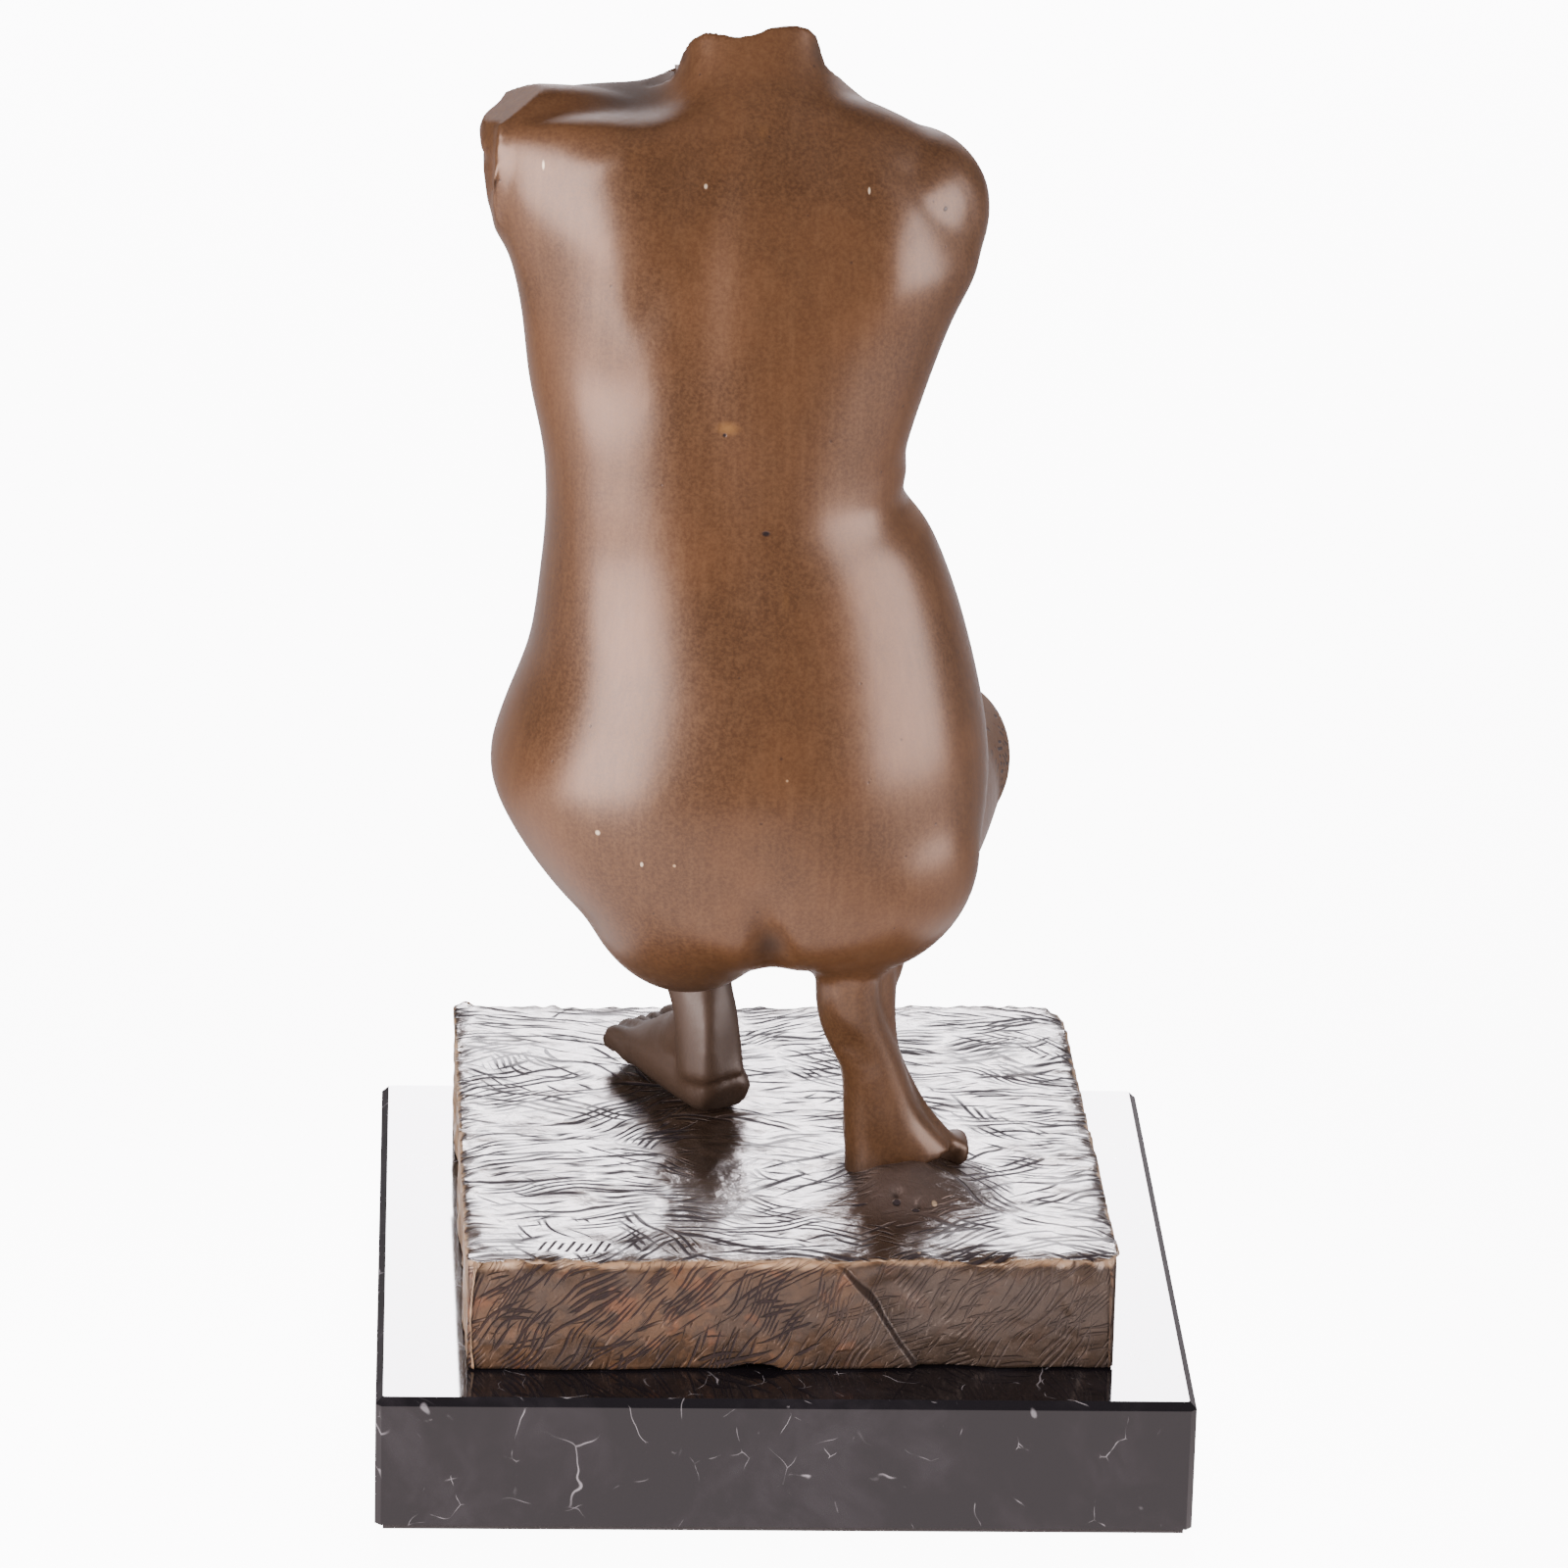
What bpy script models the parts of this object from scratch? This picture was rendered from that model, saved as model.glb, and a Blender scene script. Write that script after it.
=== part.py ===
"""Headless crouching nude in cast bronze, seen best from behind, on a rough bronze slab and a marble plinth.

Lengths are in metres and Z points up. The middle of the underside is the origin.
The figure looks along +Y, so -Y is the side of its back.
"""

import math

import bmesh
import bpy
import numpy as np
from mathutils import Vector

# Plinth and pad
PLINTH_WIDTH = 0.1200
PLINTH_DEPTH = 0.1200
PLINTH_THICKNESS = 0.0202
PLINTH_TOP_CHAMFER = 0.0011
PLINTH_CORNER_CHAMFER = 0.0009
PAD_THICKNESS = 0.0008
PAD_INSET = 0.0012

# Ground slab
SLAB_WIDTH = 0.0970
SLAB_DEPTH = 0.1012
SLAB_THICKNESS = 0.0183
SLAB_SET_BACK = 0.0008
SLAB_TURN_DEG = 1.1
SLAB_CELL = 0.0075
SLAB_ROUGHNESS = 0.0007

# Figure
FIGURE_HEIGHT = 0.1726
FIGURE_TRIANGLES = 7200
VOXELS_IN_HEIGHT = 190

# Fits
TOUCH_GAP = 0.0003

PAD_TOP = PAD_THICKNESS
PLINTH_BOTTOM = PAD_TOP + TOUCH_GAP
PLINTH_TOP = PLINTH_BOTTOM + PLINTH_THICKNESS
SLAB_BOTTOM = PLINTH_TOP + TOUCH_GAP
SLAB_TOP = SLAB_BOTTOM + SLAB_THICKNESS
FIGURE_BOTTOM = SLAB_TOP + TOUCH_GAP

# The figure is drawn in parts of its own height, from the soles to the top of the neck.
PARTS_IN_HEIGHT = 172.6
PART = FIGURE_HEIGHT / PARTS_IN_HEIGHT

# Trunk levels: height, left edge, right edge, back, front, depth of the widest place
TRUNK_LEVELS = [
    (35.5, -13.0, 9.0, -26.0, -8.0, -17.0),
    (37.5, -22.0, 17.0, -32.5, 0.0, -16.0),
    (41.0, -29.2, 24.0, -37.2, 5.0, -15.0),
    (46.0, -34.8, 26.6, -39.6, 8.0, -14.0),
    (54.0, -41.0, 29.0, -41.0, 9.0, -11.0),
    (62.0, -44.4, 29.7, -41.2, 10.0, -10.0),
    (70.0, -42.6, 29.0, -40.4, 12.0, -9.5),
    (80.0, -38.8, 26.8, -37.4, 14.0, -9.0),
    (90.0, -37.4, 23.8, -34.0, 13.0, -9.0),
    (99.0, -36.6, 20.0, -31.6, 11.0, -9.0),
    (104.5, -36.6, 15.6, -30.6, 10.0, -9.0),
    (111.0, -37.1, 16.0, -29.8, 10.0, -9.0),
    (121.0, -39.3, 19.0, -28.8, 14.0, -8.0),
    (131.0, -40.5, 22.6, -27.4, 18.0, -7.0),
    (139.0, -42.4, 26.4, -25.8, 17.0, -6.0),
    (146.0, -45.4, 24.4, -23.6, 13.0, -5.0),
    (152.0, -46.8, 20.0, -21.2, 10.0, -4.0),
    (157.0, -46.8, 15.2, -18.8, 8.0, -3.0),
    (160.3, -43.2, 10.6, -16.6, 8.0, -2.5),
    (162.8, -26.5, 6.8, -14.4, 10.0, -1.0),
    (165.0, -19.6, 4.2, -12.2, 12.0, 1.0),
    (168.0, -17.8, 3.0, -9.2, 14.0, 3.0),
    (172.0, -18.0, 3.0, -5.6, 16.0, 6.0),
    (178.0, -18.6, 3.6, -0.6, 18.0, 9.0),
]

# Limbs: centre line points with the half width and the half thickness at each
LEFT_SHOULDER = [((-12, -4, 152), 10, 10.5), ((-28, -4, 151.4), 11, 12.0), ((-44, -3, 152), 10, 11.4)]
RIGHT_SHOULDER = [((-4, -4, 157), 8, 8.5), ((6, -5, 152.2), 9.8, 10.4), ((14.6, -3, 146.0), 11.2, 11.6)]
RIGHT_ARM_STUMP = [((15.5, -3, 145.5), 12, 12), ((16, 7, 143), 10.5, 10.5), ((15, 17, 139), 9, 9)]
LEFT_THIGH = [((-20, -12, 56), 15, 17), ((-24, 12, 61), 14, 14.5), ((-25, 36, 70), 11, 12)]
LEFT_SHANK = [((-25, 38, 70), 10.5, 11), ((-21, 28, 50), 9.5, 10.5), ((-14, 14, 28), 6.6, 6.8),
              ((-11.0, 7.0, 17), 5.0, 5.0), ((-9.8, 4.8, 6), 5.2, 4.8)]
RIGHT_THIGH = [((10, -15, 50.5), 17, 17.5), ((17, 12, 48), 15.5, 15), ((25.0, 38, 45.5), 11.6, 12.8)]
RIGHT_SHANK = [((25, 39, 44), 10.5, 10.5), ((21, 20, 39.5), 8.5, 8.5), ((16, -3, 35), 4.8, 5.2),
               ((13.4, -15, 31), 4.0, 4.4)]

# Left foot: middle of the heel on the ground, and the turn of the foot toward the left
LEFT_HEEL = (-9.0, 6.8, 0.0)
LEFT_FOOT_TURN_DEG = 28.0

# Rounded masses: centre and radii
SEAT_LEFT = ((-14.6, -19.5, 54), (18, 19.5, 23.8))
SEAT_RIGHT = ((8.5, -19, 52), (20, 19, 19))
LEFT_KNEE = ((-25, 37.5, 70), (11, 11, 12.2))
RIGHT_KNEE = ((25.2, 39.5, 44.8), (11.8, 11.5, 13.2))
RIGHT_DELTOID = ((15.6, -3, 145.2), (12.2, 12.5, 12.6))
ROUND_MASSES = (SEAT_LEFT, SEAT_RIGHT, LEFT_KNEE, RIGHT_KNEE, RIGHT_DELTOID)

# Broken rim of the neck: place across and height, then the fall of the cut toward the front
NECK_RIM = [(-18.6, 166.6), (-17.4, 169.8), (-16.3, 170.6), (-14, 170.8), (-11.7, 169.9), (-9.5, 169.3),
            (-7.2, 170.0), (-4.9, 171.3), (-2.7, 172.3), (0.5, 172.3), (1.9, 171.6), (3.2, 167.2)]
NECK_RIM_DEPTH = -2.5
NECK_CUT_SLOPE = 0.8
NECK_CUT_FOOT = 163.5

# How far the trunk and thighs are rounded off after the masses are fused
BODY_RELAX = 3.2


def clear_scene():
    """Remove every object, so that the script starts from an empty file."""
    for item in list(bpy.data.objects):
        bpy.data.objects.remove(item, do_unlink=True)


def make_material(name, colour, roughness, metallic):
    material = bpy.data.materials.new(name)
    material.use_nodes = True
    shader = material.node_tree.nodes["Principled BSDF"]
    shader.inputs["Base Color"].default_value = (*colour, 1.0)
    shader.inputs["Roughness"].default_value = roughness
    shader.inputs["Metallic"].default_value = metallic
    material.diffuse_color = (*colour, 1.0)
    return material


def add_object(name, bm, material):
    """Turn a bmesh into a named object with one material."""
    bmesh.ops.recalc_face_normals(bm, faces=bm.faces)
    mesh = bpy.data.meshes.new(name)
    bm.to_mesh(mesh)
    bm.free()
    mesh.materials.append(material)
    item = bpy.data.objects.new(name, mesh)
    bpy.context.collection.objects.link(item)
    return item


def smooth_curve(points, steps):
    """Points on a smooth curve through the given points, steps to each stretch."""
    rows = np.array(points, dtype=float)
    padded = np.vstack([2 * rows[0] - rows[1], rows, 2 * rows[-1] - rows[-2]])
    curve = []
    for i in range(len(rows) - 1):
        a, b, c, d = padded[i:i + 4]
        for t in np.arange(steps) / steps:
            curve.append(0.5 * (2 * b + (c - a) * t + (2 * a - 5 * b + 4 * c - d) * t ** 2
                                + (3 * b - a - 3 * c + d) * t ** 3))
    curve.append(rows[-1])
    return np.array(curve)


def skin_rings(bm, rings):
    """Bridge a row of closed rings and fill both ends."""
    loops = []
    for ring in rings:
        made = bmesh.ops.create_circle(bm, segments=len(ring), radius=1.0, cap_ends=False)
        for vert, place in zip(made["verts"], ring):
            vert.co = place
        edges = {edge for vert in made["verts"] for edge in vert.link_edges}
        loops.append(list(edges))
    for lower, upper in zip(loops, loops[1:]):
        bmesh.ops.bridge_loops(bm, edges=lower + upper)
    bmesh.ops.contextual_create(bm, geom=loops[0])
    bmesh.ops.contextual_create(bm, geom=loops[-1])


def superellipse(angle, power):
    """Unit outline that is a circle at power 2 and squarer above it."""
    c = math.cos(angle)
    s = math.sin(angle)
    return math.copysign(abs(c) ** (2 / power), c), math.copysign(abs(s) ** (2 / power), s)


def add_trunk(bm):
    """Seat, waist, ribs and neck as one stack of level rings."""
    rings = []
    for height, left, right, back, front, middle in smooth_curve(TRUNK_LEVELS, 3):
        ring = []
        for step in range(40):
            across, along = superellipse(2 * math.pi * step / 40, 2.25)
            x = (left + right) / 2 + across * (right - left) / 2
            y = middle + (along * (front - middle) if along > 0 else along * (middle - back))
            ring.append(Vector((x, y, height)))
        rings.append(ring)
    skin_rings(bm, rings)


def add_limb(bm, stations, power=2.0, up=(0, 0, 1)):
    """Rounded bar along a bent centre line, with its own width and thickness at each station."""
    rows = [(*centre, wide, thick) for centre, wide, thick in stations]
    path = smooth_curve(rows, 4)
    rings = []
    for i, row in enumerate(path):
        ahead = Vector(path[min(i + 1, len(path) - 1)][:3]) - Vector(path[max(i - 1, 0)][:3])
        ahead.normalize()
        across = ahead.cross(Vector(up)).normalized()
        over = across.cross(ahead)
        ring = []
        for step in range(20):
            a, b = superellipse(2 * math.pi * step / 20, power)
            ring.append(Vector(row[:3]) + across * a * row[3] + over * b * row[4])
        rings.append(ring)
    skin_rings(bm, rings)


def add_ball(bm, centre, radii):
    """Ellipsoid."""
    made = bmesh.ops.create_uvsphere(bm, u_segments=20, v_segments=12, radius=1.0)
    for vert in made["verts"]:
        vert.co = Vector([c + r * v for c, r, v in zip(centre, radii, vert.co)])


def add_left_foot(bm):
    """Flat foot, heel toward the back, toes pointing away and to the left."""
    turn = math.radians(LEFT_FOOT_TURN_DEG)
    ahead = Vector((-math.sin(turn), math.cos(turn), 0))
    aside = Vector((-math.cos(turn), -math.sin(turn), 0))
    heel = Vector(LEFT_HEEL)

    def spot(along, across, height):
        return tuple(heel + ahead * along + aside * across + Vector((0, 0, height)))

    add_limb(bm, [(spot(-4.0, 0.4, 2.6), 4.2, 2.7), (spot(-0.8, 0.5, 3.6), 5.4, 3.8),
                  (spot(9, 1.0, 4.4), 5.4, 4.4), (spot(17, -0.6, 3.6), 6.4, 3.6),
                  (spot(22, -2.0, 2.9), 6.0, 2.9)], 2.5)
    add_limb(bm, [(spot(0.5, 1.2, 15), 4.6, 4.8), (spot(5.5, 0.8, 9.4), 5.0, 5.2),
                  (spot(12, 0.0, 6.8), 4.6, 4.2), (spot(19, -1.6, 4.2), 4.8, 2.8)])
    for number in range(5):
        across = 4.2 - 3.0 * number - (0.8 if number == 4 else 0.0)
        reach = 26.0 + 1.3 * number
        girth = 1.6 if number < 4 else 2.2
        add_limb(bm, [(spot(18, across, 2.2), girth, 2.0), (spot(reach - 3.4, across, 3.0), girth, 1.9),
                      (spot(reach - 0.6, across, 1.7), girth * 0.95, 1.6)])


def add_right_foot(bm):
    """Foot on tiptoe, sole toward the back, heel raised to the seat."""
    add_limb(bm, [((17.6, -19.2, 1.6), 8.6, 5.0), ((15.0, -19.2, 9.0), 6.0, 5.4),
                  ((12.9, -19.2, 18.5), 4.6, 6.4), ((9.5, -20.8, 27.5), 4.8, 7.2),
                  ((9.0, -21.6, 37.0), 4.6, 7.0)], 2.4, (0, 1, 0))
    add_limb(bm, [((12.2, -16.0, 34.0), 4.2, 6.0), ((14.0, -16.6, 20), 3.5, 5.0),
                  ((17.8, -16.0, 9), 4.0, 4.4), ((22.6, -17.0, 2.2), 4.6, 3.4)], 2.0, (0, 1, 0))
    for number in range(5):
        across = 12.2 + 3.6 * number
        girth = 2.6 if number == 0 else 1.9
        reach = -4.0 - 1.6 * number
        add_limb(bm, [((across, -18, 2.4), girth, 2.2), ((across, reach - 3, 2.8), girth, 2.0),
                      ((across, reach, 1.9), girth * 0.9, 1.7)])


def body_masses():
    """Every mass of the body, still as overlapping closed shells."""
    bm = bmesh.new()
    add_trunk(bm)
    for limb in (LEFT_SHOULDER, RIGHT_SHOULDER, RIGHT_ARM_STUMP):
        add_limb(bm, limb)
    for limb in (LEFT_THIGH, LEFT_SHANK, RIGHT_THIGH, RIGHT_SHANK):
        add_limb(bm, limb)
    for centre, radii in ROUND_MASSES:
        add_ball(bm, centre, radii)
    add_left_foot(bm)
    add_right_foot(bm)
    bmesh.ops.recalc_face_normals(bm, faces=bm.faces)
    return bm


def baked(item, name):
    """A new mesh with the modifiers of an object applied."""
    view = bpy.context.evaluated_depsgraph_get()
    mesh = bpy.data.meshes.new_from_object(item.evaluated_get(view), depsgraph=view)
    mesh.name = name
    return mesh


def fuse(bm, voxel, relax):
    """Melt overlapping shells into one skin and relax it."""
    mesh = bpy.data.meshes.new("masses")
    bm.to_mesh(mesh)
    bm.free()
    item = bpy.data.objects.new("masses", mesh)
    bpy.context.collection.objects.link(item)
    remesh = item.modifiers.new("fuse", "REMESH")
    remesh.mode = "VOXEL"
    remesh.voxel_size = voxel
    remesh.adaptivity = 0.0
    soften = item.modifiers.new("relax", "SMOOTH")
    soften.factor = 0.5
    soften.iterations = relax
    fused = baked(item, "fused")
    bpy.data.objects.remove(item, do_unlink=True)
    return fused


def round_body(mesh, voxel):
    """Round off the seat, trunk and thighs, leaving feet, shoulders and neck as they are."""
    places, _ = read_skin(mesh)
    height = places[:, 2]
    share = np.clip((height - 32) / 8, 0, 1) * np.clip((150 - height) / 10, 0, 1)
    item = bpy.data.objects.new("body", mesh)
    bpy.context.collection.objects.link(item)
    group = item.vertex_groups.new(name="body")
    for level in range(1, 11):
        chosen = np.nonzero(np.round(share * 10) == level)[0]
        group.add(chosen.tolist(), level / 10, "REPLACE")
    soften = item.modifiers.new("round", "SMOOTH")
    soften.factor = 0.5
    soften.iterations = round(4 * (BODY_RELAX / voxel) ** 2)
    soften.vertex_group = "body"
    rounded = baked(item, "rounded")
    bpy.data.objects.remove(item, do_unlink=True)
    return rounded


def read_skin(mesh):
    count = len(mesh.vertices)
    places = np.empty(count * 3)
    normals = np.empty(count * 3)
    mesh.vertices.foreach_get("co", places)
    mesh.vertex_normals.foreach_get("vector", normals)
    return places.reshape(-1, 3), normals.reshape(-1, 3)


def write_skin(mesh, places):
    mesh.vertices.foreach_set("co", places.ravel())
    mesh.update()


def nearest_on_path(places, path):
    """Distance from each place to a bent line, and how far along the line the nearest spot lies."""
    nearest = np.full(len(places), 1e9)
    along = np.zeros(len(places))
    for number, (start, end) in enumerate(zip(path, path[1:])):
        run = end - start
        share = np.clip((places - start) @ run / (run @ run), 0.0, 1.0)
        gap = np.linalg.norm(places - start - share[:, None] * run, axis=1)
        closer = gap < nearest
        nearest[closer] = gap[closer]
        along[closer] = number + share[closer]
    return nearest, along


def facing(normals, direction):
    """How far the skin faces a direction, from 0 to 1 with a soft start."""
    way = np.array(direction, float)
    way /= np.linalg.norm(way)
    return np.clip(normals @ way * 1.6, 0.0, 1.0)


def crease(mesh, path, width, direction):
    """Press a soft groove into the skin that faces a direction; each path point ends with its depth."""
    places, normals = read_skin(mesh)
    way = np.array(direction, float)
    way /= np.linalg.norm(way)
    flat = places - (places @ way)[:, None] * way
    line = [np.array(p[:3], float) - (np.array(p[:3], float) @ way) * way for p in path]
    gap, along = nearest_on_path(flat, line)
    depth = np.interp(along, range(len(path)), [p[3] for p in path])
    press = depth * np.exp(-(gap / width) ** 2) * facing(normals, direction)
    write_skin(mesh, places - press[:, None] * way)


def swell(mesh, centre, radii, height, direction):
    """Raise a soft pad on the skin that faces a direction; a negative height hollows it."""
    places, normals = read_skin(mesh)
    way = np.array(direction, float)
    way /= np.linalg.norm(way)
    offset = (places - np.array(centre, float)) / np.array(radii, float)
    lift = height * np.exp(-(offset ** 2).sum(axis=1)) * facing(normals, direction)
    write_skin(mesh, places + lift[:, None] * way)


def carve_back(mesh):
    """Spine furrow, shoulder blades, flank folds and the cleft of the seat."""
    back = (0, -1, 0)
    crease(mesh, [(-7.6, 0, 172, 0.9), (-12, 0, 160, 1.2), (-15, 0, 146, 1.3), (-14.8, 0, 126, 1.2),
                  (-11.7, 0, 111, 1.0), (-9.3, 0, 97, 0.8), (-7, 0, 80, 0.0)], 4.0, back)
    crease(mesh, [(-5.0, 0, 54, 0.0), (-4.2, 0, 47, 1.8), (-3.2, 0, 42, 3.2), (-2.2, 0, 36, 3.6),
                  (-1.6, 0, 28, 3.6)], 2.8, back)
    crease(mesh, [(-3.4, 0, 46, 0.0), (-2.0, 0, 38, 3.0), (-1.4, 0, 28, 3.4)], 3.0, (0, -0.5, -0.85))
    crease(mesh, [(2, 0, 171, -0.3), (5, 0, 163, -1.0), (11, 0, 155, -1.0), (17, 0, 148, 0.0)], 3.2, back)
    crease(mesh, [(-16.5, 0, 170, -0.3), (-19, 0, 164, -0.8), (-26, 0, 158, -0.8), (-35, 0, 154, 0.0)],
           3.2, back)
    swell(mesh, (-30, -22, 147), (10, 20, 16), 1.4, (-0.2, -1, 0.1))
    swell(mesh, (-35, -20, 138), (10, 25, 26), -0.7, back)
    swell(mesh, (-43.5, -12, 138), (6, 20, 24), 1.4, back)
    swell(mesh, (28, -12, 141), (12, 24, 16), -2.6, back)
    swell(mesh, (14, -18, 146), (7, 20, 13), 1.5, (0.4, -1, 0.1))
    swell(mesh, (-28, -26, 125), (6, 20, 5), -0.8, back)
    swell(mesh, (-22, -26, 137), (4, 20, 5), -0.4, back)
    crease(mesh, [(7, 0, 114, 0.0), (13, 0, 112.4, 0.8), (20, 0, 111, 1.0)], 1.8, (0.8, -0.6, 0))
    crease(mesh, [(11, 0, 105.5, 0.0), (17, 0, 104.5, 1.4), (21, 0, 104, 1.4)], 1.6, (0.9, -0.4, 0))
    swell(mesh, (15, -10, 108), (6, 12, 2.4), 0.7, (0.9, -0.4, 0))


def carve_front(mesh):
    """Breasts and the middle line, kept plain."""
    front = (0, 1, 0)
    swell(mesh, (-25, 16, 132), (9, 14, 9), 7.0, front)
    swell(mesh, (5, 16, 131), (9, 14, 9), 7.0, front)
    crease(mesh, [(-8, 0, 150, 1.0), (-9, 0, 120, 1.4), (-7, 0, 100, 1.2), (-6, 0, 84, 0.0)], 3.5, front)


def carve_legs(mesh):
    """Tendon over the left heel, arch of the raised sole and its outer ridge."""
    back = (0, -1, 0)
    swell(mesh, (-10.6, 2, 12), (1.7, 6, 9), 0.9, back)
    swell(mesh, (-6.6, 2, 8), (1.6, 6, 7), -0.7, back)
    crease(mesh, [(5.5, 0, 27, 0.6), (9.0, 0, 23.5, 1.2), (13.5, 0, 18, 0.0)], 2.6, back)
    crease(mesh, [(15.8, -16, 28, 0.0), (17.4, -16, 19, 0.8), (20.6, -16, 8, 0.5)], 1.2, (0.7, -0.7, 0))


def saw(mesh, spot, direction, lowest):
    """Cut off what stands past a plane above a height, leaving a flat face."""
    places, _ = read_skin(mesh)
    way = np.array(direction, float)
    way /= np.linalg.norm(way)
    past = np.maximum((places - np.array(spot, float)) @ way, 0.0) * (places[:, 2] > lowest)
    write_skin(mesh, places - past[:, None] * way)


def cut_neck(mesh):
    """Broken top of the neck: a wavy rim toward the back, falling away to the front."""
    places, _ = read_skin(mesh)
    rim = np.interp(places[:, 0], [x for x, _ in NECK_RIM], [height for _, height in NECK_RIM])
    limit = np.maximum(rim - NECK_CUT_SLOPE * (places[:, 1] - NECK_RIM_DEPTH), NECK_CUT_FOOT)
    on_neck = places[:, 2] > NECK_CUT_FOOT
    places[:, 2] = np.where(on_neck, np.minimum(places[:, 2], limit), places[:, 2])
    write_skin(mesh, places)


def carve_stumps(mesh):
    """Wavy cut of the neck, and the broken end of the left arm."""
    cut_neck(mesh)
    saw(mesh, (-46.8, 0, 157), (-1, 0, -0.13), 138)
    saw(mesh, (-43.4, 0, 160), (-0.5, -0.05, 0.86), 138)
    swell(mesh, (-47.5, -4, 153.6), (2.2, 7, 0.9), -0.8, (-1, 0, 0))
    swell(mesh, (-22, -2, 164), (7, 14, 5), -1.7, (0, 0, 1))


def make_figure(voxels, relax):
    """One skin for the whole figure, in metres and in its place."""
    voxel = PARTS_IN_HEIGHT / voxels
    mesh = round_body(fuse(body_masses(), voxel, relax), voxel)
    carve_back(mesh)
    carve_front(mesh)
    carve_legs(mesh)
    carve_stumps(mesh)
    places, _ = read_skin(mesh)
    places[:, 2] = np.clip(places[:, 2], 0.0, PARTS_IN_HEIGHT)
    write_skin(mesh, places * PART + np.array([0.0, 0.0, FIGURE_BOTTOM]))
    return mesh


def add_figure(material):
    mesh = make_figure(VOXELS_IN_HEIGHT, 6)
    mesh.materials.clear()
    mesh.materials.append(material)
    figure = bpy.data.objects.new("torso_figure", mesh)
    bpy.context.collection.objects.link(figure)
    faces = sum(len(face.vertices) - 2 for face in mesh.polygons)
    thin = figure.modifiers.new("thin out", "DECIMATE")
    thin.ratio = FIGURE_TRIANGLES / faces
    thin.use_collapse_triangulate = True
    for face in mesh.polygons:
        face.use_smooth = True
    return figure


def box(width, depth, bottom, top):
    bm = bmesh.new()
    made = bmesh.ops.create_cube(bm, size=1.0)
    for vert in made["verts"]:
        vert.co.x *= width
        vert.co.y *= depth
        vert.co.z = top if vert.co.z > 0 else bottom
    return bm


def bevel(bm, edges, size, segments=1):
    bmesh.ops.bevel(bm, geom=edges, offset=size, segments=segments, profile=0.5, affect="EDGES", material=-1)


def add_pad(material):
    """Felt under the plinth."""
    bm = box(PLINTH_WIDTH - 2 * PAD_INSET, PLINTH_DEPTH - 2 * PAD_INSET, 0.0, PAD_TOP)
    return add_object("felt_pad", bm, material)


def add_plinth(material):
    """Polished block with narrow chamfers on its upright corners and its top edges."""
    bm = box(PLINTH_WIDTH, PLINTH_DEPTH, PLINTH_BOTTOM, PLINTH_TOP)
    upright = [e for e in bm.edges if abs(e.verts[0].co.z - e.verts[1].co.z) > 1e-6]
    bevel(bm, upright, PLINTH_CORNER_CHAMFER)
    rim = [e for e in bm.edges if all(v.co.z > PLINTH_TOP - 1e-6 for v in e.verts)]
    bevel(bm, rim, PLINTH_TOP_CHAMFER)
    return add_object("marble_plinth", bm, material)


def ripple(x, y, z):
    """Slow uneven wave between about -1 and 1, the same every time."""
    k = 2 * math.pi / 0.031
    wave = math.sin(k * x + 1.3) * math.cos(0.83 * k * y - 0.4)
    wave += 0.6 * math.sin(2.3 * k * (x + 0.4 * y) + 2.0 * z * k) * math.cos(1.9 * k * (y - 0.3 * x) + 0.9)
    return wave / 1.6


def add_slab(material):
    """Rough cast ground with uneven sides."""
    bm = box(SLAB_WIDTH, SLAB_DEPTH, SLAB_BOTTOM, SLAB_TOP)
    cuts = round(SLAB_WIDTH / SLAB_CELL)
    bmesh.ops.subdivide_edges(bm, edges=bm.edges, cuts=cuts, use_grid_fill=True)
    turn = math.radians(SLAB_TURN_DEG)
    for vert in bm.verts:
        place = vert.co
        wave = SLAB_ROUGHNESS * ripple(*place)
        if place.z > SLAB_BOTTOM + 1e-5:
            side = max(abs(place.x) / (SLAB_WIDTH / 2), abs(place.y) / (SLAB_DEPTH / 2))
            on_side = abs(place.x) > SLAB_WIDTH / 2 - 1e-5
            on_end = abs(place.y) > SLAB_DEPTH / 2 - 1e-5
            if on_side:
                place.x -= math.copysign(SLAB_ROUGHNESS + wave, place.x)
            if on_end:
                place.y -= math.copysign(SLAB_ROUGHNESS + wave, place.y)
            if place.z > SLAB_TOP - 1e-5 and side > 0.85:
                place.z -= 0.5 * (SLAB_ROUGHNESS + wave)
        x = place.x * math.cos(turn) - place.y * math.sin(turn)
        y = place.x * math.sin(turn) + place.y * math.cos(turn)
        vert.co = (x, y + SLAB_SET_BACK, place.z)
    return add_object("ground_slab", bm, material)


def main():
    clear_scene()
    bronze = make_material("brown_bronze", (0.24, 0.13, 0.06), 0.35, 1.0)
    dark_bronze = make_material("dark_bronze", (0.12, 0.085, 0.06), 0.45, 1.0)
    marble = make_material("black_marble", (0.02, 0.02, 0.024), 0.08, 0.0)
    felt = make_material("black_felt", (0.015, 0.015, 0.015), 0.95, 0.0)
    add_pad(felt)
    add_plinth(marble)
    add_slab(dark_bronze)
    add_figure(bronze)


main()
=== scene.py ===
"""Looks of a small bronze: a headless crouching nude on a scratched slab and a black marble plinth.

Lengths are in metres and Z points up. The figure looks along +Y, so its back is toward the camera.
"""

import math

import bmesh
import bpy
import numpy as np
from mathutils import Matrix, Vector, noise


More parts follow.
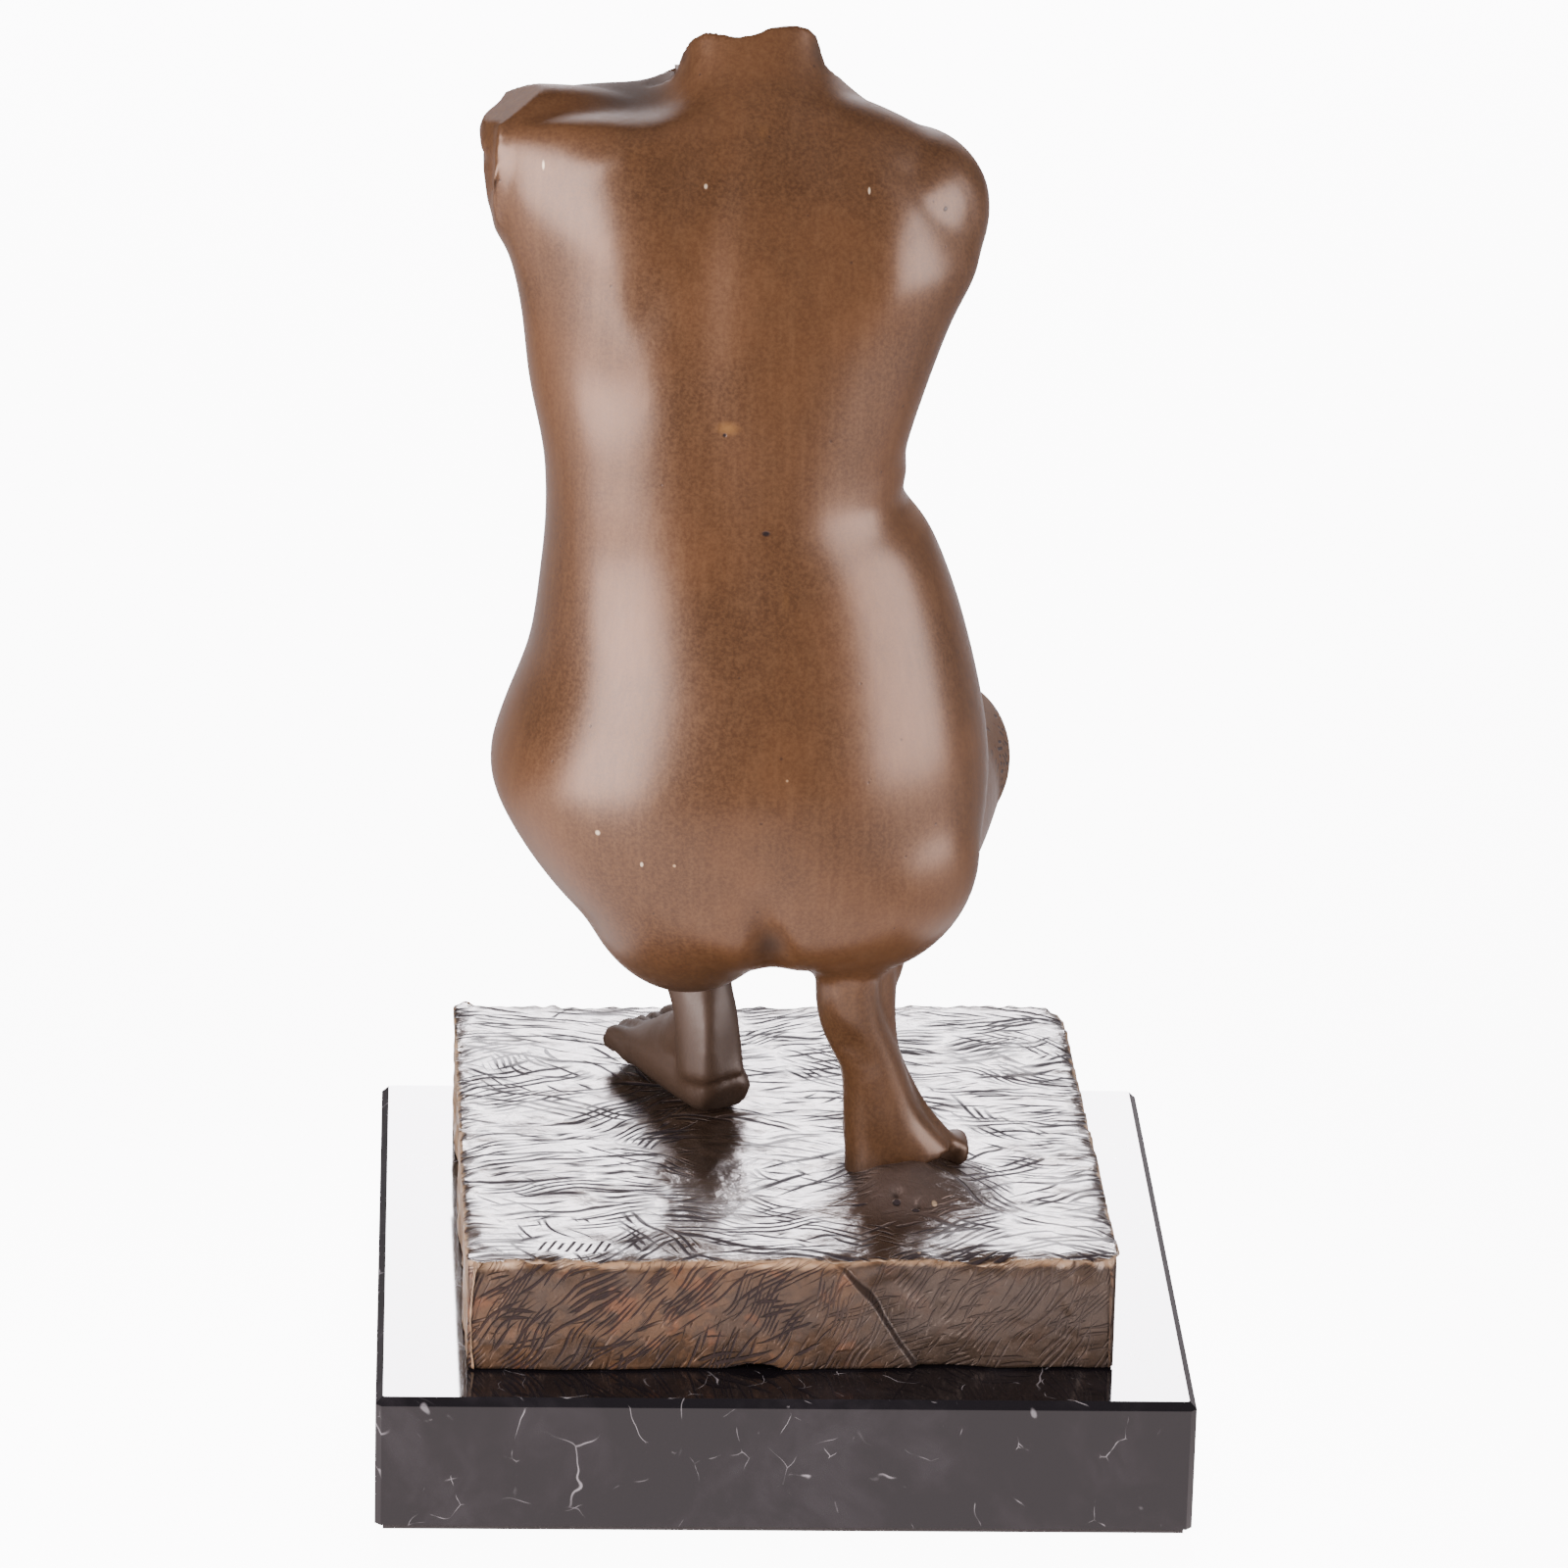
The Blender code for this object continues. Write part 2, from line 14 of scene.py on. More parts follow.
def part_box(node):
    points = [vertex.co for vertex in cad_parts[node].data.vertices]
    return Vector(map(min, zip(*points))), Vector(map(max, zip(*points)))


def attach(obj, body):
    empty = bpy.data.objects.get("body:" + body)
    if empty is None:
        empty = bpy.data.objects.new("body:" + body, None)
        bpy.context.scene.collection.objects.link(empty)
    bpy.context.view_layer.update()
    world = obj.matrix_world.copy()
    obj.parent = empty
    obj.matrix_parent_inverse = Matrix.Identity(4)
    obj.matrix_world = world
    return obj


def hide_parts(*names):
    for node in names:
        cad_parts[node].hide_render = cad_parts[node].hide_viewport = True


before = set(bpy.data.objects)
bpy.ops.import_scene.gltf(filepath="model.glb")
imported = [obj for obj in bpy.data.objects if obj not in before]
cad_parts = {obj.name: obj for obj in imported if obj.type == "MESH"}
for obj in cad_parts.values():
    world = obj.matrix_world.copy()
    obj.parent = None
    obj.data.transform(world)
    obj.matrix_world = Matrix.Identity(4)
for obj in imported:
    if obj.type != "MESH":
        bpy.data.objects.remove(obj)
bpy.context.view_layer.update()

SLAB_LOW, SLAB_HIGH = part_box("ground_slab")
FIGURE_LOW, FIGURE_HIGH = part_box("torso_figure")

# Figure, drawn in parts of its own height
PARTS_IN_HEIGHT = 172.6
TRUNK_STEPS = 64
TRUNK_POWER = 2.25
LIMB_STEPS = 32
PART = 0.001
VOXELS_IN_HEIGHT = 228
RELAX_LENGTH = 2.2
BODY_RELAX = 3.2

# Trunk levels: height, left edge, right edge, back, front, depth of the widest place
TRUNK_LEVELS = [
    (35.5, -13.0, 9.0, -26.0, -8.0, -17.0),
    (37.5, -22.0, 17.0, -32.5, 0.0, -16.0),
    (41.0, -29.2, 24.0, -37.2, 5.0, -15.0),
    (46.0, -34.8, 26.6, -39.6, 8.0, -14.0),
    (54.0, -41.0, 29.0, -41.0, 9.0, -11.0),
    (62.0, -44.4, 29.7, -41.2, 10.0, -10.0),
    (70.0, -42.6, 29.0, -40.4, 12.0, -9.5),
    (80.0, -38.8, 26.8, -37.4, 14.0, -9.0),
    (90.0, -37.4, 23.8, -34.0, 13.0, -9.0),
    (99.0, -36.6, 20.0, -31.6, 11.0, -9.0),
    (104.5, -36.6, 15.6, -30.6, 10.0, -9.0),
    (111.0, -37.1, 16.0, -29.8, 10.0, -9.0),
    (121.0, -39.3, 19.0, -28.8, 14.0, -8.0),
    (131.0, -40.5, 22.6, -27.4, 18.0, -7.0),
    (139.0, -42.4, 26.4, -25.8, 17.0, -6.0),
    (146.0, -45.4, 24.4, -23.6, 13.0, -5.0),
    (152.0, -46.8, 20.0, -21.2, 10.0, -4.0),
    (157.0, -46.8, 15.2, -18.8, 8.0, -3.0),
    (160.3, -43.2, 10.6, -16.6, 8.0, -2.5),
    (162.8, -26.5, 6.8, -14.4, 10.0, -1.0),
    (165.0, -19.6, 4.2, -12.2, 12.0, 1.0),
    (168.0, -17.8, 3.0, -9.2, 14.0, 3.0),
    (172.0, -18.0, 3.0, -5.6, 16.0, 6.0),
    (178.0, -18.6, 3.6, -0.6, 18.0, 9.0),
]

# Limbs: centre line points with the half width and the half thickness at each
LEFT_SHOULDER = [((-12, -4, 152), 10, 10.5), ((-28, -4, 151.4), 11, 12.0), ((-44, -3, 152), 10, 11.4)]
RIGHT_SHOULDER = [((-4, -4, 157), 8, 8.5), ((6, -5, 152.2), 9.8, 10.4), ((14.6, -3, 146.0), 11.2, 11.6)]
RIGHT_ARM_STUMP = [((15.5, -3, 145.5), 12, 12), ((16, 7, 143), 10.5, 10.5), ((15, 17, 139), 9, 9)]
LEFT_THIGH = [((-20, -12, 56), 15, 17), ((-24, 12, 61), 14, 14.5), ((-25, 36, 70), 11, 12)]
LEFT_SHANK = [((-25, 38, 70), 10.5, 11), ((-21, 28, 50), 9.5, 10.5), ((-14, 14, 28), 6.6, 6.8),
              ((-11.0, 7.0, 17), 5.0, 5.0), ((-9.8, 4.8, 6), 5.2, 4.8)]
RIGHT_THIGH = [((10, -15, 50.5), 17, 17.5), ((17, 12, 48), 15.5, 15), ((25.0, 38, 45.5), 11.6, 12.8)]
RIGHT_SHANK = [((25, 39, 44), 10.5, 10.5), ((21, 20, 39.5), 8.5, 8.5), ((16, -3, 35), 4.8, 5.2),
               ((13.4, -15, 31), 4.0, 4.4)]

# Left foot: middle of the heel on the ground, and the turn of the foot toward the left
LEFT_HEEL = (-9.0, 6.8, 0.0)
LEFT_FOOT_TURN_DEG = 28.0

# Left foot, in its own directions: along, across and height
LEFT_SOLE = [((-4.0, 0.4, 2.6), 4.2, 2.7), ((-0.8, 0.5, 3.6), 5.4, 3.8), ((9, 1.0, 4.4), 5.4, 4.4),
             ((17, -0.6, 3.6), 6.4, 3.6), ((22, -2.0, 2.9), 6.0, 2.9)]
LEFT_INSTEP = [((0.5, 1.2, 15), 4.6, 4.8), ((5.5, 0.8, 9.4), 5.0, 5.2), ((12, 0.0, 6.8), 4.6, 4.2),
               ((19, -1.6, 4.2), 4.8, 2.8)]

# Right foot, on tiptoe
RIGHT_SOLE = [((17.6, -19.2, 1.6), 8.6, 5.0), ((15.0, -19.2, 9.0), 6.0, 5.4), ((12.9, -19.2, 18.5), 4.6, 6.4),
              ((9.5, -20.8, 27.5), 4.8, 7.2), ((9.0, -21.6, 37.0), 4.6, 7.0)]
RIGHT_INSTEP = [((12.2, -16.0, 34.0), 4.2, 6.0), ((14.0, -16.6, 20), 3.5, 5.0), ((17.8, -16.0, 9), 4.0, 4.4),
                ((22.6, -17.0, 2.2), 4.6, 3.4)]

# Rounded masses: centre and radii
ROUND_MASSES = [
    ((-14.6, -19.5, 54), (18, 19.5, 23.8)),
    ((8.5, -19, 52), (20, 19, 19)),
    ((-25, 37.5, 70), (11, 11, 12.2)),
    ((25.2, 39.5, 44.8), (11.8, 11.5, 13.2)),
    ((15.6, -3, 145.2), (12.2, 12.5, 12.6)),
]

# Broken rim of the neck: place across and height, then the fall of the cut toward the front
NECK_RIM = [(-18.6, 166.6), (-17.4, 169.8), (-16.3, 170.6), (-14, 170.8), (-11.7, 169.9), (-9.5, 169.3),
            (-7.2, 170.0), (-4.9, 171.3), (-2.7, 172.3), (0.5, 172.3), (1.9, 171.6), (3.2, 167.2)]
NECK_RIM_DEPTH = -2.5
NECK_CUT_SLOPE = 0.8
NECK_CUT_FOOT = 163.5
NECK_MIDDLE = -7.7
NECK_HALF_WIDTH = 14.0

# Ground slab
SLAB_WIDTH = 0.0970
SLAB_DEPTH = 0.1012
SLAB_SET_BACK = 0.0008
SLAB_TURN_DEG = 1.1
SLAB_ROUGHNESS = 0.0007
SLAB_CORNERS = [(1, 1, 0.0055), (-1, 1, 0.0030), (-1, -1, 0.0022), (1, -1, 0.0026)]
SLAB_CELL = 0.00052
SLAB_BOTTOM = SLAB_LOW.z
SLAB_TOP = SLAB_HIGH.z
HALF_X = SLAB_WIDTH / 2
HALF_Y = SLAB_DEPTH / 2
SIDE_GAP = 1e-5
RIPPLE_LENGTH = 0.031

# How far down the sides follow the top's edge, and the strip along the front where the top is less worn
FOLLOW_DEPTH = 0.003
FRONT_LIP = 0.004

# Break of the front face: heights above the foot, and places across at them
BREAK_LINE = ([0.0, 0.0095, 0.0175], [0.0180, 0.0120, 0.0055])
BREAK_END = ([0.0, 0.008, 0.0145, 0.0175], [0.0425, 0.0405, 0.0376, 0.0400])

# Round hollow in the front face: place across, height, half width, half height, depth
HOLLOW = (0.0150, 0.0118, 0.0042, 0.0040, 0.0012)

# Chips along the top edge of each side: middle, half width, reach down, bite
FRONT_CHIPS = [(-0.0368, 0.0026, 0.0022, 0.0011), (0.0066, 0.0018, 0.0011, 0.0008),
               (0.0285, 0.0034, 0.0030, 0.0012), (0.0225, 0.0020, 0.0010, 0.0005),
               (-0.0140, 0.0010, 0.0008, 0.0005), (0.0430, 0.0022, 0.0040, 0.0010),
               (0.0128, 0.0012, 0.0009, 0.0006), (-0.0262, 0.0009, 0.0008, 0.0004)]
RIGHT_CHIPS = [(-0.034, 0.0020, 0.0030, 0.0012), (-0.019, 0.0030, 0.0022, 0.0009),
               (-0.010, 0.0014, 0.0030, 0.0016), (-0.004, 0.0018, 0.0024, 0.0013),
               (0.006, 0.0026, 0.0020, 0.0009), (0.020, 0.0020, 0.0030, 0.0012)]
LEFT_CHIPS = [(-0.041, 0.0018, 0.0030, 0.0011), (-0.028, 0.0024, 0.0018, 0.0009),
              (-0.012, 0.0016, 0.0020, 0.0010), (0.004, 0.0020, 0.0016, 0.0008),
              (0.021, 0.0016, 0.0024, 0.0010), (0.034, 0.0022, 0.0018, 0.0009)]

# What the front chips take from the top: middle, half width, bite
TOP_CHIPS = [(-0.0368, 0.0026, 0.0009), (0.0066, 0.0018, 0.0005), (0.0285, 0.0034, 0.0009),
             (0.0430, 0.0030, 0.0006)]
TOP_CHIP_REACH = 0.0016

# Pits in the weld mound: place across and along, size, depth
WELD_PITS = [(0.0162, -0.0320, 0.00055, 0.0012), (0.0194, -0.0338, 0.0005, 0.0010)]

# Row of ticks near the front edge of the slab; its reach is half a tick's height
TICKS_LEFT = -0.0215
TICKS_DOWN = -0.0452
TICK_PITCH = 0.00135
TICK_COUNT = 8.0
TICK_SLANT = -0.35
TICK_REACH = 0.0018
TICK_SWAY = 0.0005

# Scratches: patch size, stroke length, pitch of the rows, mean turn and spread in degrees, amount, seed
TOP_STROKES = [
    (0.022, 0.0150, 0.00135, -8, 90, 1.10, 1.0),
    (0.016, 0.0100, 0.00120, 10, 110, 0.80, 5.0),
    (0.027, 0.0200, 0.00190, 0, 60, 0.75, 9.0),
]
WALL_STROKES = [
    (0.024, 0.0130, 0.00078, -42, 22, 0.95, 2.0),
    (0.016, 0.0090, 0.00066, -66, 26, 0.80, 7.0),
    (0.020, 0.0080, 0.00095, -20, 24, 0.40, 4.0),
]
KNEE_STROKES = [(0.012, 0.0030, 0.0010, 25, 60, 1.0, 3.0)]

# Across the front wall: where its marks thin out, and where its broken part turns dark
WALL_MARKS_FADE = (0.002, 0.010)
BREAK_FADE = (0.006, 0.016)

# Scratches wander a little, and neighbouring rows and patches don't line up
WANDER_SCALE = 70.0
WANDER_REACH = (0.007, 0.007, 0.0)
ROW_SHIFT = 31.0
STROKE_SHIFT = 5.17
NOISE_ROW_STEP = 1.37

# Speckles: kind, cells in a metre, radius in cells, how rare, seed
SPECKLES = [("Pores", 560.0, 0.08, 0.955, 3.1), ("Specks", 150.0, 0.025, 0.95, 8.7)]

# Size of the grain, and how finely each axis of the rubbed streaks is drawn
FIGURE_GRAIN = 0.0005
SLAB_GRAIN = 0.0006
STREAK_SCALE = (900.0, 900.0, 42.0)

# Where the figure's colour changes: start and end of each change. The lower legs, the left leg and the feet
# are darkened as painted shade under the seat and toward the slab; the knee marks a rasped patch.
LEG_FADE = (SLAB_TOP + 0.026, SLAB_TOP + 0.042)
LEFT_LEG_FADE = (-0.003, 0.001)
FOOT_FADE = (SLAB_TOP, SLAB_TOP + 0.007)
KNEE_SIDE = (0.0290, 0.0315)
KNEE_BACK = (0.014, 0.024)
KNEE_FOOT = (0.068, 0.080)
KNEE_HEAD = (0.112, 0.120)

# Veins in the marble: cells in a metre, width in cells, seed, and where the vein starts and is whole
VEINS = [(21.0, 0.0030, 2.0, 0.54, 0.70), (52.0, 0.0055, 6.0, 0.55, 0.72), (125.0, 0.012, 11.0, 0.57, 0.72)]

# Colours of the materials, red, green and blue


def paints(**colours):
    """Opaque colours by name."""
    return {name: (*colour, 1.0) for name, colour in colours.items()}


# The leg, left leg and foot paints are painted shade that darkens the lower legs and feet under the seat.
BROWN = paints(
    deep=(0.082, 0.037, 0.015), warm=(0.130, 0.058, 0.023), grain=(0.20, 0.100, 0.040),
    streak=(0.30, 0.17, 0.08), leg=(0.050, 0.032, 0.018), left_leg=(0.040, 0.029, 0.022),
    foot=(0.030, 0.020, 0.014), pore=(0.03, 0.014, 0.010), speck=(0.62, 0.42, 0.24),
    stain=(0.036, 0.024, 0.018), knee=(0.060, 0.034, 0.018), scuff=(0.30, 0.15, 0.045),
    cut=(0.020, 0.012, 0.012), pale_nick=(0.75, 0.62, 0.45),
)
# The crack paint is painted shade on the steps of the front's break.
DARK = paints(
    top=(0.055, 0.036, 0.026), top_cloud=(0.085, 0.058, 0.040),
    wall=(0.040, 0.023, 0.015), wall_cloud=(0.115, 0.060, 0.029),
    red=(0.20, 0.075, 0.030), mottle=(0.024, 0.016, 0.014), broken=(0.034, 0.027, 0.024),
    mound=(0.125, 0.095, 0.082), edge=(0.60, 0.42, 0.26), crack=(0.030, 0.020, 0.016),
    groove=(0.014, 0.008, 0.012), speck=(0.50, 0.38, 0.26),
)
STONE = paints(
    black=(0.008, 0.007, 0.009), cloud=(0.022, 0.020, 0.024), vein=(0.50, 0.49, 0.53),
    fleck=(0.35, 0.35, 0.38),
)
FELT = paints(deep=(0.010, 0.009, 0.010), nap=(0.060, 0.052, 0.055))
FLOOR = paints(
    glow=(1.0, 0.87, 0.88), glow_seen=(1.0, 0.995, 1.0), base=(0.13, 0.12, 0.12),
    base_seen=(0.90, 0.90, 0.91),
)

# Small marks on the figure: centre and half sizes
PALE_NICKS = [
    ((-0.0144, -0.0195, 0.1935), (0.00035, 0.002, 0.00045)),
    ((-0.0286, -0.0365, 0.1009), (0.00045, 0.002, 0.0005)),
    ((-0.0222, -0.0388, 0.0969), (0.00030, 0.002, 0.0005)),
    ((-0.0376, -0.0164, 0.1952), (0.00025, 0.002, 0.0009)),
    ((0.0091, -0.0182, 0.1927), (0.00025, 0.002, 0.0006)),
]
DARK_NICKS = [
    ((-0.0050, -0.0301, 0.1447), (0.0008, 0.002, 0.0005)),
    ((0.0204, -0.0130, 0.1888), (0.00045, 0.002, 0.00045)),
    ((-0.0112, -0.0281, 0.1590), (0.0004, 0.002, 0.0004)),
]
SCUFFS = [
    ((-0.0108, -0.0281, 0.1600), (0.0024, 0.006, 0.0014)),
    ((-0.0062, -0.0200, 0.2005), (0.0014, 0.008, 0.0016)),
    ((-0.0020, -0.0290, 0.1350), (0.0010, 0.006, 0.0030)),
]
# Dark matt patches on and round the breaks of the neck and the left arm. The first patch is painted shade in
# the top of the seat's cleft.
STAINS = [
    ((-0.0027, -0.034, 0.0840), (0.0038, 0.010, 0.0060)),
    ((0.0026, -0.003, 0.2095), (0.0026, 0.006, 0.0040)),
    ((-0.0178, -0.002, 0.2080), (0.0016, 0.006, 0.0022)),
    ((-0.0465, -0.004, 0.1900), (0.0030, 0.012, 0.0060)),
    ((-0.0240, 0.000, 0.2010), (0.0130, 0.020, 0.0060)),
]

# Slab marks in its own plane: weld mound, its pinholes, and the smooth strip
MOUND = ((0.0180, -0.0310, 0.0), (0.0135, 0.0115, 1.0))
PINHOLES = [((0.0161, -0.0336, 0.0), (0.0007, 0.0006, 1.0)), ((0.0189, -0.0349, 0.0), (0.0007, 0.0004, 1.0)),
            ((0.0105, -0.0332, 0.0), (0.0014, 0.0003, 1.0))]
PALE_SPECK = ((0.0217, -0.0336, 0.0), (0.0005, 0.0006, 1.0))
TICKS_CALM = ((-0.0322, -0.0448, 0.0), (0.0088, 0.0038, 1.0))
SMOOTH_STRIP = ((-0.0090, -0.0160, 0.0), (0.0075, 0.0260, 1.0))

# Table that glows near the object: where the glow starts, and where it fades toward the back and the right
FLOOR_FRONT_FADE = (-0.56, -0.50)
FLOOR_BACK_FADE = (-0.02, 0.14)
FLOOR_RIGHT_FADE = (0.05, 0.15)
FLOOR_GLOW = 1.45
FLOOR_SHADE = 0.15
FLOOR_RIGHT_SHADE = 0.30
FLOOR_SEEN = 9.0

# Lights: name, place, target, width, height, watts and colour
WARM = (1.0, 0.86, 0.84)
SOFTBOXES = [
    ("left_softbox", (-0.79, -0.62, 0.20), (0, 0, 0.11), 0.76, 0.95, 28.5, WARM),
    ("right_softbox", (0.94, -0.34, 0.20), (0, 0, 0.11), 0.9, 0.95, 20.0, WARM),
    ("backdrop_light", (0.07, 1.5, 0.66), (0, 0, 0.03), 0.66, 0.34, 35.0, (1.0, 0.955, 1.02)),
]
WORLD_COLOUR = (0.95, 0.95, 1.0, 1.0)
WORLD_STRENGTH = 0.16

# Camera
CAMERA_PLACE = (-0.0539, -1.1586, 0.5280)
CAMERA_PITCH_DEG = 20.47
CAMERA_YAW_DEG = -2.66
CAMERA_ROLL_DEG = 1.49
CAMERA_LENS = 190.26


# Mesh helpers


def smooth_curve(points, steps):
    """Points on a smooth curve through the given points, steps to each stretch."""
    rows = np.array(points, dtype=float)
    padded = np.vstack([2 * rows[0] - rows[1], rows, 2 * rows[-1] - rows[-2]])
    curve = []
    for i in range(len(rows) - 1):
        a, b, c, d = padded[i:i + 4]
        for t in np.arange(steps) / steps:
            curve.append(0.5 * (2 * b + (c - a) * t + (2 * a - 5 * b + 4 * c - d) * t ** 2
                                + (3 * b - a - 3 * c + d) * t ** 3))
    curve.append(rows[-1])
    return np.array(curve)


def skin_rings(bm, rings):
    """Bridge a row of closed rings and fill both ends."""
    loops = []
    for ring in rings:
        made = bmesh.ops.create_circle(bm, segments=len(ring), radius=1.0, cap_ends=False)
        for vert, place in zip(made["verts"], ring):
            vert.co = place
        edges = {edge for vert in made["verts"] for edge in vert.link_edges}
        loops.append(list(edges))
    for lower, upper in zip(loops, loops[1:]):
        bmesh.ops.bridge_loops(bm, edges=lower + upper)
    bmesh.ops.contextual_create(bm, geom=loops[0])
    bmesh.ops.contextual_create(bm, geom=loops[-1])


def superellipse(angle, power):
    """Unit outline that is a circle at power 2 and squarer above it."""
    c = math.cos(angle)
    s = math.sin(angle)
    return math.copysign(abs(c) ** (2 / power), c), math.copysign(abs(s) ** (2 / power), s)


def add_trunk(bm):
    """Seat, waist, ribs and neck as one stack of level rings."""
    rings = []
    for height, left, right, back, front, middle in smooth_curve(TRUNK_LEVELS, 4):
        ring = []
        for step in range(TRUNK_STEPS):
            across, along = superellipse(2 * math.pi * step / TRUNK_STEPS, TRUNK_POWER)
            x = (left + right) / 2 + across * (right - left) / 2
            y = middle + (along * (front - middle) if along > 0 else along * (middle - back))
            ring.append(Vector((x, y, height)))
        rings.append(ring)
    skin_rings(bm, rings)


def add_limb(bm, stations, power=2.0, up=(0, 0, 1)):
    """Rounded bar along a bent centre line, with its own width and thickness at each station."""
    rows = [(*centre, wide, thick) for centre, wide, thick in stations]
    path = smooth_curve(rows, 6)
    rings = []
    for i, row in enumerate(path):
        ahead = Vector(path[min(i + 1, len(path) - 1)][:3]) - Vector(path[max(i - 1, 0)][:3])
        ahead.normalize()
        across = ahead.cross(Vector(up)).normalized()
        over = across.cross(ahead)
        ring = []
        for step in range(LIMB_STEPS):
            a, b = superellipse(2 * math.pi * step / LIMB_STEPS, power)
            ring.append(Vector(row[:3]) + across * a * row[3] + over * b * row[4])
        rings.append(ring)
    skin_rings(bm, rings)


def add_ball(bm, centre, radii):
    made = bmesh.ops.create_uvsphere(bm, u_segments=36, v_segments=20, radius=1.0)
    for vert in made["verts"]:
        vert.co = Vector([c + r * v for c, r, v in zip(centre, radii, vert.co)])


def left_foot_axes():
    """Heel of the left foot, and the ways ahead and aside from it."""
    turn = math.radians(LEFT_FOOT_TURN_DEG)
    ahead = (-math.sin(turn), math.cos(turn), 0.0)
    aside = (-math.cos(turn), -math.sin(turn), 0.0)
    return LEFT_HEEL, ahead, aside


def add_left_foot(bm):
    """Flat foot, heel toward the back, toes pointing away and to the left."""
    heel, ahead, aside = [Vector(row) for row in left_foot_axes()]

    def spot(along, across, height):
        return tuple(heel + ahead * along + aside * across + Vector((0, 0, height)))

    add_limb(bm, [(spot(*place), wide, thick) for place, wide, thick in LEFT_SOLE], 2.5)
    add_limb(bm, [(spot(*place), wide, thick) for place, wide, thick in LEFT_INSTEP])
    for number in range(5):
        across = 4.2 - 3.0 * number - (0.8 if number == 4 else 0.0)
        reach = 26.0 + 1.3 * number
        girth = 1.6 if number < 4 else 2.2
        add_limb(bm, [(spot(18, across, 2.2), girth, 2.0), (spot(reach - 3.4, across, 3.0), girth, 1.9),
                      (spot(reach - 0.6, across, 1.7), girth * 0.95, 1.6)])


def add_right_foot(bm):
    """Foot on tiptoe, sole toward the back, heel raised to the seat."""
    add_limb(bm, RIGHT_SOLE, 2.4, (0, 1, 0))
    add_limb(bm, RIGHT_INSTEP, 2.0, (0, 1, 0))
    for number in range(5):
        across = 12.2 + 3.6 * number
        girth = 2.6 if number == 0 else 1.9
        reach = -4.0 - 1.6 * number
        add_limb(bm, [((across, -18, 2.4), girth, 2.2), ((across, reach - 3, 2.8), girth, 2.0),
                      ((across, reach, 1.9), girth * 0.9, 1.7)])


def body_masses():
    """Every mass of the body, still as overlapping closed shells."""
    bm = bmesh.new()
    add_trunk(bm)
    for limb in (LEFT_SHOULDER, RIGHT_SHOULDER, RIGHT_ARM_STUMP,
                 LEFT_THIGH, LEFT_SHANK, RIGHT_THIGH, RIGHT_SHANK):
        add_limb(bm, limb)
    for centre, radii in ROUND_MASSES:
        add_ball(bm, centre, radii)
    add_left_foot(bm)
    add_right_foot(bm)
    bmesh.ops.recalc_face_normals(bm, faces=bm.faces)
    return bm


def new_object(name, data):
    """An object in the scene."""
    item = bpy.data.objects.new(name, data)
    bpy.context.collection.objects.link(item)
    return item


def baked(item, name):
    """A new mesh with the modifiers of an object applied."""
    view = bpy.context.evaluated_depsgraph_get()
    mesh = bpy.data.meshes.new_from_object(item.evaluated_get(view), depsgraph=view)
    mesh.name = name
    return mesh


def fuse(bm, voxel, relax):
    """Melt overlapping shells into one skin and relax it."""
    mesh = bpy.data.meshes.new("masses")
    bm.to_mesh(mesh)
    bm.free()
    item = new_object("masses", mesh)
    remesh = item.modifiers.new("fuse", "REMESH")
    remesh.mode = "VOXEL"
    remesh.voxel_size = voxel
    remesh.adaptivity = 0.0
    soften = item.modifiers.new("relax", "SMOOTH")
    soften.factor = 0.5
    soften.iterations = relax
    fused = baked(item, "fused")
    bpy.data.objects.remove(item, do_unlink=True)
    return fused


def round_body(mesh, voxel):
    """Round off the seat, trunk and thighs, leaving feet, shoulders and neck as they are."""
    places, _ = read_skin(mesh)
    height = places[:, 2]
    share = np.clip((height - 32) / 8, 0, 1) * np.clip((150 - height) / 10, 0, 1)
    item = new_object("body", mesh)
    group = item.vertex_groups.new(name="body")
    for level in range(1, 11):
        chosen = np.nonzero(np.round(share * 10) == level)[0]
        group.add(chosen.tolist(), level / 10, "REPLACE")
    soften = item.modifiers.new("round", "SMOOTH")
    soften.factor = 0.5
    soften.iterations = round(4 * (BODY_RELAX / voxel) ** 2)
    soften.vertex_group = "body"
    rounded = baked(item, "rounded")
    bpy.data.objects.remove(item, do_unlink=True)
    return rounded


def read_skin(mesh):
    count = len(mesh.vertices)
    places = np.empty(count * 3)
    normals = np.empty(count * 3)
    mesh.vertices.foreach_get("co", places)
    mesh.vertex_normals.foreach_get("vector", normals)
    return places.reshape(-1, 3), normals.reshape(-1, 3)


def write_skin(mesh, places):
    mesh.vertices.foreach_set("co", places.ravel())
    mesh.update()


def nearest_on_path(places, path):
    """Distance from each place to a bent line, and how far along the line the nearest spot lies."""
    nearest = np.full(len(places), 1e9)
    along = np.zeros(len(places))
    for number, (start, end) in enumerate(zip(path, path[1:])):
        run = end - start
        share = np.clip((places - start) @ run / (run @ run), 0.0, 1.0)
        gap = np.linalg.norm(places - start - share[:, None] * run, axis=1)
        closer = gap < nearest
        nearest[closer] = gap[closer]
        along[closer] = number + share[closer]
    return nearest, along


def unit(direction):
    way = np.array(direction, float)
    return way / np.linalg.norm(way)


def facing(normals, direction):
    """How far the skin faces a direction, from 0 to 1 with a soft start."""
    return np.clip(normals @ unit(direction) * 1.6, 0.0, 1.0)


def crease(mesh, path, width, direction):
    """Press a soft groove into the skin that faces a direction; each path point ends with its depth."""
    places, normals = read_skin(mesh)
    way = unit(direction)
    flat = places - (places @ way)[:, None] * way
    line = [np.array(p[:3], float) - (np.array(p[:3], float) @ way) * way for p in path]
    gap, along = nearest_on_path(flat, line)
    depth = np.interp(along, range(len(path)), [p[3] for p in path])
    press = depth * np.exp(-(gap / width) ** 2) * facing(normals, direction)
    write_skin(mesh, places - press[:, None] * way)


